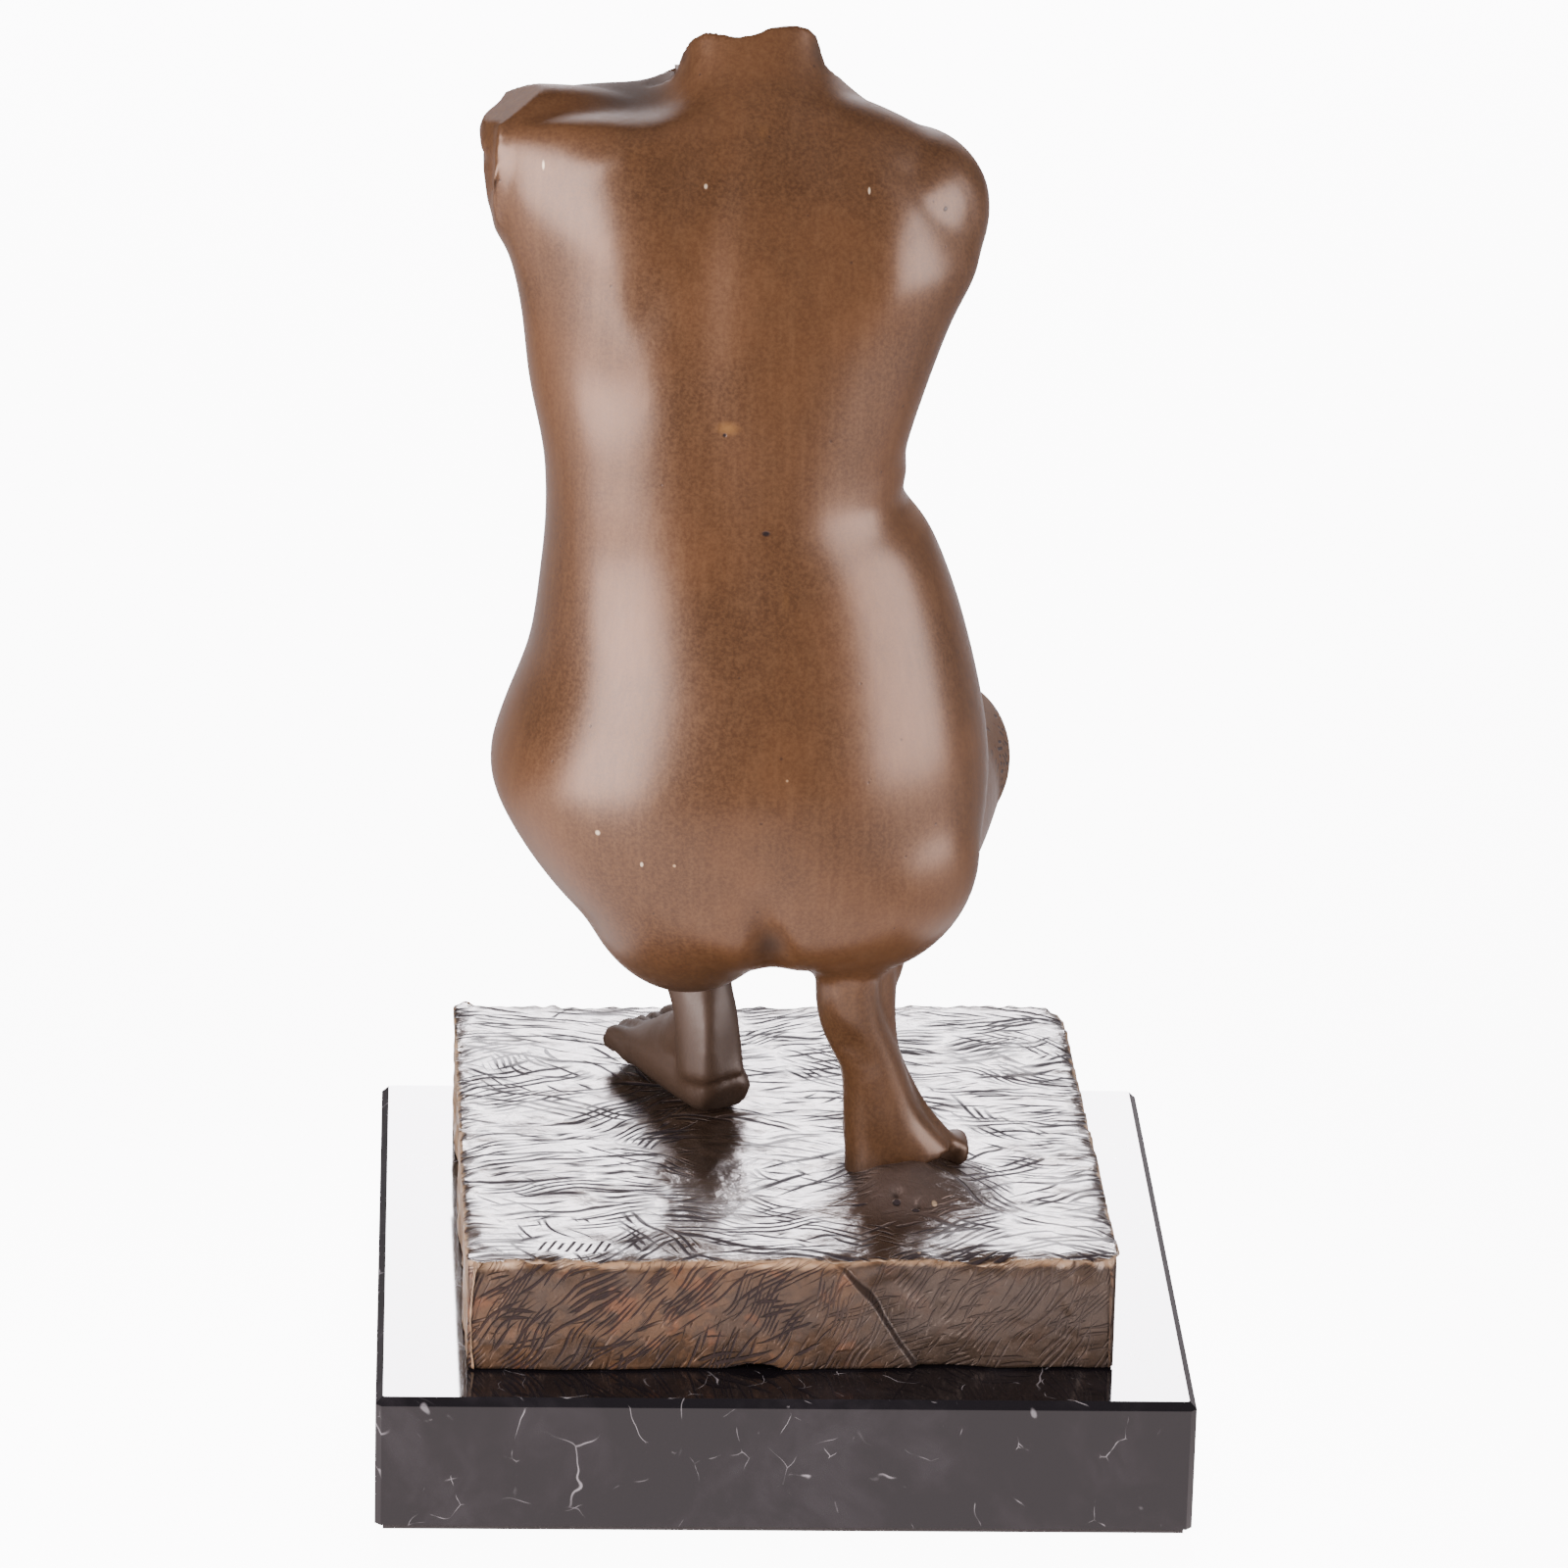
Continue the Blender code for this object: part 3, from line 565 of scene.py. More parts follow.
def swell(mesh, centre, radii, height, direction):
    """Raise a soft pad on the skin that faces a direction; a negative height hollows it."""
    places, normals = read_skin(mesh)
    way = unit(direction)
    offset = (places - np.array(centre, float)) / np.array(radii, float)
    lift = height * np.exp(-(offset ** 2).sum(axis=1)) * facing(normals, direction)
    write_skin(mesh, places + lift[:, None] * way)


def saw(mesh, spot, direction, lowest):
    """Cut off what stands past a plane above a height, leaving a flat face."""
    places, _ = read_skin(mesh)
    way = unit(direction)
    past = np.maximum((places - np.array(spot, float)) @ way, 0.0) * (places[:, 2] > lowest)
    write_skin(mesh, places - past[:, None] * way)


# Figure


def carve_back(mesh):
    """Spine furrow, shoulder blades, flank folds and the cleft of the seat."""
    back = (0, -1, 0)
    # Furrow of the spine
    crease(mesh, [(-7.6, 0, 172, 0.8), (-12, 0, 160, 1.0), (-15, 0, 146, 0.8), (-14.8, 0, 126, 0.6),
                  (-11.7, 0, 111, 0.5), (-9.3, 0, 97, 0.5), (-7, 0, 80, 0.0)], 4.6, back)
    # Cleft of the seat, from the back and from below
    crease(mesh, [(-5.0, 0, 54, 0.0), (-4.2, 0, 47, 1.8), (-3.2, 0, 42, 3.2), (-2.2, 0, 36, 3.6),
                  (-1.6, 0, 28, 3.6)], 2.8, back)
    crease(mesh, [(-3.4, 0, 46, 0.0), (-2.0, 0, 38, 3.0), (-1.4, 0, 28, 3.4)], 3.0, (0, -0.5, -0.85))
    # Raised muscles from the neck to both shoulders
    crease(mesh, [(2, 0, 171, -0.3), (5, 0, 163, -1.0), (11, 0, 155, -1.0), (17, 0, 148, 0.0)], 3.2, back)
    crease(mesh, [(-16.5, 0, 170, -0.3), (-19, 0, 164, -0.8), (-26, 0, 158, -0.8), (-35, 0, 154, 0.0)],
           3.2, back)
    # Left blade, the hollows round it and the left flank
    swell(mesh, (-30, -22, 147), (10, 20, 16), 1.4, (-0.2, -1, 0.1))
    swell(mesh, (-35, -20, 138), (10, 25, 26), -0.7, back)
    swell(mesh, (-43.5, -12, 138), (6, 20, 24), 1.2, back)
    swell(mesh, (-50, -12, 138), (16, 30, 24), -2.2, back)
    swell(mesh, (-32, -14, 106), (7, 20, 20), 1.2, back)
    # Dip along the top of the left shoulder
    crease(mesh, [(-41, -8, 162.5, 0.7), (-32, -8, 163, 1.0), (-22, -8, 164, 0.8)], 4.0, (0, -0.5, 0.86))
    # Right blade and the hollow beside it
    swell(mesh, (28, -12, 141), (13, 24, 18), -1.5, back)
    swell(mesh, (14, -18, 146), (7, 20, 13), 1.5, (0.4, -1, 0.1))
    # Shallow hollows below the left blade
    swell(mesh, (-28, -26, 124), (8, 20, 7), -0.6, back)
    swell(mesh, (-22, -26, 137), (4, 20, 5), -0.4, back)
    # Folds of the right flank and the roll between them
    crease(mesh, [(7, 0, 114, 0.0), (13, 0, 112.4, 0.8), (20, 0, 111, 1.0)], 1.8, (0.8, -0.6, 0))
    crease(mesh, [(11, 0, 105.5, 0.0), (17, 0, 104.5, 1.4), (21, 0, 104, 1.4)], 1.6, (0.9, -0.4, 0))
    swell(mesh, (15, -10, 108), (6, 12, 2.4), 0.7, (0.9, -0.4, 0))


def carve_front(mesh):
    """Breasts and the middle line, kept plain."""
    front = (0, 1, 0)
    swell(mesh, (-25, 16, 132), (9, 14, 9), 7.0, front)
    swell(mesh, (5, 16, 131), (9, 14, 9), 7.0, front)
    crease(mesh, [(-8, 0, 150, 1.0), (-9, 0, 120, 1.4), (-7, 0, 100, 1.2), (-6, 0, 84, 0.0)], 3.5, front)


def carve_legs(mesh):
    """Heel, toes and tendon of the left foot, and the arch and outer ridge of the raised sole."""
    heel, ahead, aside = [np.array(row) for row in left_foot_axes()]
    # Heel and ball of the left foot, and the clefts between its toes
    swell(mesh, heel - 4.5 * ahead + 0.5 * aside + (0, 0, 5.4), (4.5, 4.5, 2.0), 0.7, tuple(-ahead))
    swell(mesh, heel + 24 * ahead + 1.5 * aside + (0, 0, 3.0), (4.6, 4.6, 3.4), 1.4, (-0.35, 0.1, 0.93))
    for number in range(4):
        across = 2.7 - 3.0 * number
        near = heel + 18.5 * ahead + across * aside
        tip = heel + (28.0 + 1.3 * number) * ahead + across * aside
        crease(mesh, [(*near, 0.0), (*(near + 3 * ahead), 0.9), (*tip, 1.1)], 0.9, (0, 0, 1))

    # Tendon of the left heel and the hollow beside it
    back = (0, -1, 0)
    swell(mesh, (-10.6, 2, 12), (1.7, 6, 9), 0.9, back)
    swell(mesh, (-6.6, 2, 8), (1.6, 6, 7), -0.7, back)
    # Arch of the raised sole and the groove of its outer ridge
    crease(mesh, [(5.5, 0, 27, 0.6), (9.0, 0, 23.5, 1.2), (13.5, 0, 18, 0.0)], 2.6, back)
    crease(mesh, [(15.8, -16, 28, 0.0), (17.4, -16, 19, 0.8), (20.6, -16, 8, 0.5)], 1.2, (0.7, -0.7, 0))


def cut_neck(mesh):
    """Broken top of the neck: a wavy rim toward the back, falling away to the front."""
    places, _ = read_skin(mesh)
    rim = np.interp(places[:, 0], [x for x, _ in NECK_RIM], [height for _, height in NECK_RIM])
    limit = np.maximum(rim - NECK_CUT_SLOPE * (places[:, 1] - NECK_RIM_DEPTH), NECK_CUT_FOOT)
    on_neck = places[:, 2] > NECK_CUT_FOOT
    places[:, 2] = np.where(on_neck, np.minimum(places[:, 2], limit), places[:, 2])
    column = np.abs(places[:, 0] - NECK_MIDDLE) < NECK_HALF_WIDTH
    base = column & (np.abs(places[:, 2] - NECK_CUT_FOOT + 3.5) < 1.0)
    brim = column & (places[:, 2] > NECK_CUT_FOOT - 2.5)
    places[brim, 1] = np.minimum(places[brim, 1], places[base, 1].max())
    write_skin(mesh, places)


def carve_stumps(mesh):
    """Wavy cut of the neck, and the broken end of the left arm."""
    cut_neck(mesh)
    saw(mesh, (-46.8, 0, 157), (-1, 0, -0.13), 138)
    saw(mesh, (-43.4, 0, 160), (-0.5, -0.05, 0.86), 138)
    swell(mesh, (-47.5, -4, 153.6), (2.2, 7, 0.9), -0.8, (-1, 0, 0))
    swell(mesh, (-22, -2, 164), (7, 14, 5), -1.7, (0, 0, 1))


def make_figure():
    """One fine skin for the whole figure, in metres and in its place."""
    voxel = PARTS_IN_HEIGHT / VOXELS_IN_HEIGHT
    relax = round((RELAX_LENGTH / voxel) ** 2)
    mesh = round_body(fuse(body_masses(), voxel, relax), voxel)
    carve_back(mesh)
    carve_front(mesh)
    carve_legs(mesh)
    carve_stumps(mesh)
    places, _ = read_skin(mesh)
    places = places * PART + np.array([0.0, 0.0, FIGURE_LOW.z])
    places[:, 2] = np.clip(places[:, 2], FIGURE_LOW.z, FIGURE_HIGH.z)
    write_skin(mesh, places)
    for face in mesh.polygons:
        face.use_smooth = True
    return mesh


# Slab


def ripple(x, y, z):
    """Slow uneven wave between about -1 and 1, the same every time."""
    k = 2 * math.pi / RIPPLE_LENGTH
    wave = np.sin(k * x + 1.3) * np.cos(0.83 * k * y - 0.4)
    wave = wave + 0.6 * np.sin(2.3 * k * (x + 0.4 * y) + 2.0 * z * k) * np.cos(1.9 * k * (y - 0.3 * x) + 0.9)
    return wave / 1.6


def noise_at(places, size, seed):
    """Soft noise of a given grain size at each place, about -1 to 1."""
    shift = Vector((seed * 17.3, seed * 5.1, seed * 9.7))
    return np.array([noise.noise(Vector(p) / size + shift) for p in places])


def slab_block():
    """Closed block with a fine even grid on its top and sides and one face below."""
    bm = bmesh.new()
    made = bmesh.ops.create_cube(bm, size=1.0)
    for vert in made["verts"]:
        height = SLAB_TOP if vert.co.z > 0 else SLAB_BOTTOM
        vert.co = Vector((vert.co.x * SLAB_WIDTH, vert.co.y * SLAB_DEPTH, height))
    for axis, length in enumerate((SLAB_WIDTH, SLAB_DEPTH, SLAB_TOP - SLAB_BOTTOM)):
        edges = [e for e in bm.edges if abs(e.verts[0].co[axis] - e.verts[1].co[axis]) > length / 2]
        bmesh.ops.subdivide_edges(bm, edges=edges, cuts=round(length / SLAB_CELL) - 1, use_grid_fill=True)
    low = [f for f in bm.faces if all(v.co.z < SLAB_BOTTOM + 1e-6 for v in f.verts)]
    bmesh.ops.dissolve_faces(bm, faces=low)
    bmesh.ops.recalc_face_normals(bm, faces=bm.faces)
    mesh = bpy.data.meshes.new("slab")
    bm.to_mesh(mesh)
    bm.free()
    return mesh


def falloff(value, start, end):
    """0 up to start, 1 from end on, smooth between."""
    t = np.clip((value - start) / (end - start), 0.0, 1.0)
    return t * t * (3 - 2 * t)


def unroll(x, y, depth, sides):
    """Flat map of the slab: the top as it is, and each side folded out past its edge."""
    front, back, left, right = sides
    flat = np.stack([x, y, np.zeros_like(x)], axis=1)
    flat[front, 1] -= depth[front]
    flat[back, 1] += depth[back]
    flat[left, 0] -= depth[left]
    flat[right, 0] += depth[right]
    return flat


def bitten(along, depth, chips):
    """How far chips bite into the top edge of a side."""
    total = np.zeros_like(along)
    for centre, width, reach, bite in chips:
        total += bite * np.exp(-((along - centre) / width) ** 4 - (depth / reach) ** 4)
    return total


def front_break(x, height, middle):
    """How far the front face stands back right of its slanting break, with a round hollow in it."""
    break_x = np.interp(height, *BREAK_LINE) + 0.0006 * middle
    far_x = np.interp(height, *BREAK_END)
    recess = falloff(x, break_x, break_x + 0.0008) * (1 - falloff(x, far_x - 0.0005, far_x + 0.0012))
    recess *= 0.0009 * (1 - 0.75 * falloff(x, break_x, break_x + 0.022)) + 0.0003
    centre_x, centre_height, half_width, half_height, deep = HOLLOW
    bowl = deep * np.exp(-((x - centre_x) / half_width) ** 2 - ((height - centre_height) / half_height) ** 2)
    return recess + bowl


def top_height(x, y, coarse, middle, fine):
    """Height of the top: slow waves, worn and chipped edges, and the mounds round the feet."""
    rim = np.minimum(HALF_X - np.abs(x), HALF_Y - np.abs(y))
    drop = 0.00045 * (1 + coarse) + 0.00016 * (1 + middle) + 0.00006 * (1 + fine)
    worn = np.where(y < FRONT_LIP - HALF_Y, 0.35, 1.0)
    drop += 0.0010 * worn * np.exp(-rim / 0.0013) * (1.1 + 0.8 * coarse + 0.9 * middle + 0.5 * fine)
    for centre, width, bite in TOP_CHIPS:
        drop += bite * np.exp(-((x - centre) / width) ** 4 - ((y + HALF_Y) / TOP_CHIP_REACH) ** 2)
    mound = 0.0042 * np.exp(-((x - 0.0180) / 0.0088) ** 2 - ((y + 0.0235) / 0.0092) ** 4)
    mound += 0.0012 * np.exp(-((x - 0.0170) / 0.0130) ** 2 - ((y + 0.0280) / 0.0110) ** 2)
    collar = 0.0012 * np.exp(-((x + 0.0100) / 0.0085) ** 2 - ((y - 0.0075) / 0.0062) ** 2)
    lift = mound * (1 + 0.12 * middle) + collar
    for centre_x, centre_y, size, bite in WELD_PITS:
        lift -= bite * np.exp(-((x - centre_x) ** 2 + (y - centre_y) ** 2) / size ** 2)
    return SLAB_TOP - drop + lift


def round_corners(x, y):
    """The corners of the slab rounded off, the far right one most."""
    for way_x, way_y, radius in SLAB_CORNERS:
        past_x = way_x * x - HALF_X + radius
        past_y = way_y * y - HALF_Y + radius
        past = np.stack([past_x, past_y], axis=1)
        inside = (past > 1e-6).all(axis=1)
        rounder = past.max(axis=1) / np.maximum(np.linalg.norm(past, axis=1), 1e-9)
        x = np.where(inside, way_x * (HALF_X - radius + past_x * rounder), x)
        y = np.where(inside, way_y * (HALF_Y - radius + past_y * rounder), y)
    return x, y


def make_slab():
    """Rough cast ground: broken front face, worn edges and the weld mound round the raised foot."""
    mesh = slab_block()
    places, _ = read_skin(mesh)
    x, y, z = places.T.copy()
    depth = SLAB_TOP - z
    height = z - SLAB_BOTTOM
    on_front = y < -HALF_Y + SIDE_GAP
    on_back = y > HALF_Y - SIDE_GAP
    side_x = np.abs(x) > HALF_X - SIDE_GAP
    on_left = side_x & (x < 0) & ~on_front & ~on_back
    on_right = side_x & (x > 0) & ~on_front & ~on_back
    side_y = on_front | on_back
    flat = unroll(x, y, depth, (on_front, on_back, on_left, on_right))

    # Sides: rough all over, worn along the top edge, broken and chipped
    coarse = noise_at(places, 0.011, 1)
    middle = noise_at(places, 0.0042, 2)
    fine = noise_at(places, 0.0016, 3)
    inward = SLAB_ROUGHNESS * (1 + ripple(x, y, z)) * 0.8 + 0.00022 * (1 + middle) + 0.0001 * (1 + fine)
    edge_wear = 0.0010 * np.exp(-depth / 0.0012) * (1.2 + 0.9 * coarse + 0.9 * middle + 0.5 * fine)
    move_x = np.where(side_x, -np.sign(x) * (inward + edge_wear), 0.0)
    move_y = np.where(side_y, -np.sign(y) * (inward + edge_wear), 0.0)
    move_y[on_front] += (front_break(x, height, middle) + bitten(x, depth, FRONT_CHIPS))[on_front]
    move_x[on_right] -= bitten(y, depth, RIGHT_CHIPS)[on_right]
    move_x[on_left] += bitten(y, depth, LEFT_CHIPS)[on_left]

    # Top, and the sides just below it, which follow it so that the edge stays closed
    on_top = depth < 1e-6
    move_z = np.where(on_top, top_height(x, y, coarse, middle, fine) - z, 0.0)
    follow = ~on_top & (depth < FOLLOW_DEPTH)
    near = np.clip(1 - depth / FOLLOW_DEPTH, 0, 1)
    move_z[follow] -= (near * (0.0009 * (1.0 + 0.8 * coarse + 0.5 * middle) + 0.0005))[follow] * 0.9

    # Corners, and the notch under the front face
    x, y = round_corners(x, y)
    move_z += 0.0009 * np.exp(-((x + 0.0052) / 0.0034) ** 4) * np.exp(-height / 0.0006) * on_front
    x += move_x
    y += move_y
    turn = math.radians(SLAB_TURN_DEG)
    turned = np.stack([x * math.cos(turn) - y * math.sin(turn),
                       x * math.sin(turn) + y * math.cos(turn) + SLAB_SET_BACK, z + move_z], axis=1)
    write_skin(mesh, turned)
    values = mesh.attributes.new("unrolled", "FLOAT_VECTOR", "POINT")
    values.data.foreach_set("vector", flat.ravel())
    for face in mesh.polygons:
        face.use_smooth = len(face.vertices) < 5
    return mesh


# Node helpers


class Nodes:
    """Short calls that add and join shader nodes in one tree."""

    def __init__(self, tree):
        self.tree = tree

    def fill(self, node, values):
        """Link or set the inputs of a node."""
        for key, value in values.items():
            if isinstance(value, bpy.types.NodeSocket):
                self.tree.links.new(value, node.inputs[key])
            else:
                node.inputs[key].default_value = value

    def add(self, kind, values=None, **settings):
        """A node with its settings, its unlinked values and its linked sockets."""
        node = self.tree.nodes.new(kind)
        for name, value in settings.items():
            setattr(node, name, value)
        self.fill(node, values or {})
        return node

    def math(self, operation, *values, clamp=False):
        node = self.add("ShaderNodeMath", dict(enumerate(values)), operation=operation, use_clamp=clamp)
        return node.outputs[0]

    def times(self, first, second):
        return self.math("MULTIPLY", first, second)

    def plus(self, first, second):
        return self.math("ADD", first, second)

    def minus(self, first, second, clamp=False):
        return self.math("SUBTRACT", first, second, clamp=clamp)

    def linear(self, value, factor, start, clamp=False):
        """A value times a factor, plus a start."""
        return self.math("MULTIPLY_ADD", value, factor, start, clamp=clamp)

    def most(self, *values):
        """The largest of several values."""
        largest = values[0]
        for value in values[1:]:
            largest = self.math("MAXIMUM", largest, value)
        return largest

    def vector_math(self, operation, first, second):
        return self.add("ShaderNodeVectorMath", {0: first, 1: second}, operation=operation).outputs[0]

    def moved(self, vector, way):
        return self.vector_math("ADD", vector, way)

    def scaled(self, vector, factors):
        return self.vector_math("MULTIPLY", vector, factors)

    def split(self, vector):
        """The three parts of a vector."""
        return self.add("ShaderNodeSeparateXYZ", {"Vector": vector}).outputs

    def combine(self, **parts):
        """A vector from its parts X, Y and Z; a part not given is 0."""
        return self.add("ShaderNodeCombineXYZ", parts).outputs[0]

    def object_place(self):
        return self.add("ShaderNodeTexCoord").outputs["Object"]

    def noise(self, vector, scale, detail=2.0, roughness=0.5, dimensions="3D", output="Fac"):
        values = {"Vector": vector, "Scale": scale, "Detail": detail, "Roughness": roughness}
        return self.add("ShaderNodeTexNoise", values, noise_dimensions=dimensions).outputs[output]

    def warp(self, vector, scale, detail, reach):
        """Offset made by noise at a place, at most about half the reach each way."""
        colour = self.noise(vector, scale, detail, output="Color")
        return self.scaled(self.vector_math("SUBTRACT", colour, (0.5, 0.5, 0.5)), reach)

    def cells(self, vector, scale, **settings):
        """Outputs of a pattern of irregular cells."""
        return self.add("ShaderNodeTexVoronoi", {"Vector": vector, "Scale": scale}, **settings).outputs

    def band(self, value, low, high, start=0.0, end=1.0, kind="SMOOTHSTEP"):
        """Step of a value from start at low to end at high."""
        values = {"Value": value, "From Min": low, "From Max": high, "To Min": start, "To Max": end}
        return self.add("ShaderNodeMapRange", values, interpolation_type=kind).outputs["Result"]

    def fade(self, value, low, high):
        """1 up to low, 0 from high on, smooth between."""
        return self.band(value, low, high, 1.0, 0.0)

    def mix(self, share, first, second):
        """Blend of two colours."""
        return self.add("ShaderNodeMix", {0: share, 6: first, 7: second}, data_type="RGBA").outputs[2]

    def layered(self, colour, layers):
        """Paints laid over a colour one by one: the mask, the most of it and the paint of each."""
        for mask, amount, paint in layers:
            colour = self.mix(self.times(mask, amount), colour, paint)
        return colour

    def bump(self, height, strength, distance):
        values = {"Strength": strength, "Distance": distance, "Height": height}
        return self.add("ShaderNodeBump", values).outputs["Normal"]


def new_material(name):
    """An empty Principled material and its node helper."""
    material = bpy.data.materials.new(name)
    material.use_nodes = True
    shader = material.node_tree.nodes["Principled BSDF"]
    return material, Nodes(material.node_tree), shader


def new_group(name, vectors, values, outputs):
    """A shader node group with its vector inputs, its value inputs and its value outputs."""
    group = bpy.data.node_groups.new(name, "ShaderNodeTree")
    for label in vectors:
        group.interface.new_socket(name=label, in_out="INPUT", socket_type="NodeSocketVector")
    for label in values:
        group.interface.new_socket(name=label, in_out="INPUT", socket_type="NodeSocketFloat")
    for label in outputs:
        group.interface.new_socket(name=label, in_out="OUTPUT", socket_type="NodeSocketFloat")
    nodes = Nodes(group)
    return group, nodes, nodes.add("NodeGroupInput").outputs, nodes.add("NodeGroupOutput")


def stroke_group():
    """Bunches of short scratches: each patch has its own direction, and the marks fade at its rim."""
    group, nodes, given, result = new_group(
        "scratch_strokes", ["Place"],
        ["Patch Size", "Stroke Length", "Row Pitch", "Mean Turn", "Turn Spread", "Amount", "Seed"], ["Mark"])
    shift = nodes.combine(X=given["Seed"], Y=given["Seed"])
    wander = nodes.warp(nodes.moved(given["Place"], shift), WANDER_SCALE, 1.0, WANDER_REACH)
    place = nodes.moved(given["Place"], wander)

    per_patch = nodes.math("DIVIDE", 1.0, given["Patch Size"])
    patch_place = nodes.scaled(place, nodes.combine(X=per_patch, Y=per_patch, Z=per_patch))
    patch_place = nodes.moved(patch_place, shift)
    patches = nodes.cells(patch_place, 1.0, voronoi_dimensions="2D")
    borders = nodes.cells(patch_place, 1.0, voronoi_dimensions="2D", feature="DISTANCE_TO_EDGE")
    turn_chance, row_chance, _ = nodes.add("ShaderNodeSeparateColor", {"Color": patches["Color"]}).outputs
    turn = nodes.linear(nodes.minus(turn_chance, 0.5), given["Turn Spread"], given["Mean Turn"])
    turned = nodes.add("ShaderNodeVectorRotate", {"Vector": place, "Angle": turn}, rotation_type="Z_AXIS")
    along, across, _ = nodes.split(turned.outputs[0])

    row = nodes.plus(nodes.math("DIVIDE", across, given["Row Pitch"]), nodes.times(row_chance, ROW_SHIFT))
    number = nodes.math("FLOOR", row)
    from_row = nodes.math("ABSOLUTE", nodes.minus(nodes.math("FRACT", row), 0.5))
    along = nodes.plus(nodes.math("DIVIDE", along, given["Stroke Length"]), nodes.times(number, STROKE_SHIFT))
    solid_place = nodes.combine(X=along, Y=nodes.times(number, NOISE_ROW_STEP))
    solid = nodes.noise(solid_place, 1.0, 0.0, dimensions="2D")
    start = nodes.minus(0.66, nodes.times(given["Amount"], 0.2))
    gone = nodes.band(solid, start, nodes.plus(start, 0.12), 0.30, 0.0, "LINEAR")
    marks = nodes.fade(nodes.plus(from_row, gone), 0.13, 0.32)
    inside = nodes.band(borders["Distance"], 0.01, 0.12)
    nodes.fill(result, {"Mark": nodes.times(marks, inside)})
    return group


def strokes(nodes, group, place, kinds):
    """The union of several kinds of scratch marks."""
    marks = []
    for patch, length, pitch, turn, spread, amount, seed in kinds:
        values = {"Place": place, "Patch Size": patch, "Stroke Length": length, "Row Pitch": pitch,
                  "Mean Turn": math.radians(turn), "Turn Spread": math.radians(spread), "Amount": amount,
                  "Seed": seed}
        marks.append(nodes.add("ShaderNodeGroup", values, node_tree=group).outputs["Mark"])
    return nodes.most(*marks)


def spot_group():
    """Oval mark round a centre: 1 inside, 0 outside, with a chosen soft rim."""
    group, nodes, given, result = new_group("oval_spot", ["Place", "Centre", "Half Size"], ["Core"], ["Mark"])
    offset = nodes.vector_math("SUBTRACT", given["Place"], given["Centre"])
    offset = nodes.vector_math("DIVIDE", offset, given["Half Size"])
    far = nodes.add("ShaderNodeVectorMath", {0: offset}, operation="LENGTH").outputs["Value"]
    nodes.fill(result, {"Mark": nodes.fade(far, given["Core"], 1.0)})
    return group


def spots(nodes, group, place, ovals, core):
    """The union of several oval marks."""
    marks = []
    for centre, half_size in ovals:
        values = {"Place": place, "Centre": centre, "Half Size": half_size, "Core": core}
        marks.append(nodes.add("ShaderNodeGroup", values, node_tree=group).outputs["Mark"])
    return nodes.most(*marks)


def scattered(nodes, vector, scale, radius, rim, channel, rare):
    """Round dots in the few cells whose random colour passes a limit."""
    dots = nodes.cells(vector, scale)
    chance = nodes.add("ShaderNodeSeparateColor", {"Color": dots["Color"]}).outputs[channel]
    near = nodes.fade(dots["Distance"], radius, rim)
    return nodes.times(near, nodes.math("GREATER_THAN", chance, rare))


def speckle_group():
    """Fine grain, scattered dark pores and light specks of a hand-finished casting."""
    group, nodes, given, result = new_group(
        "patina_speckle", ["Place"], ["Grain Size"], ["Grain", "Pores", "Specks"])
    per_grain = nodes.math("DIVIDE", 1.0, given["Grain Size"])
    marks = {"Grain": nodes.band(nodes.noise(given["Place"], per_grain, 2.0, 0.7), 0.3, 0.7)}
    for label, scale, radius, rare, seed in SPECKLES:
        place = nodes.moved(given["Place"], (seed, seed, seed))
        marks[label] = scattered(nodes, place, scale, radius, radius * 2, "Green", rare)
    nodes.fill(result, marks)
    return group


def use_speckle(nodes, group, place, grain_size):
    """Grain, pores and specks of the shared group."""
    return nodes.add("ShaderNodeGroup", {"Place": place, "Grain Size": grain_size}, node_tree=group).outputs


# Materials


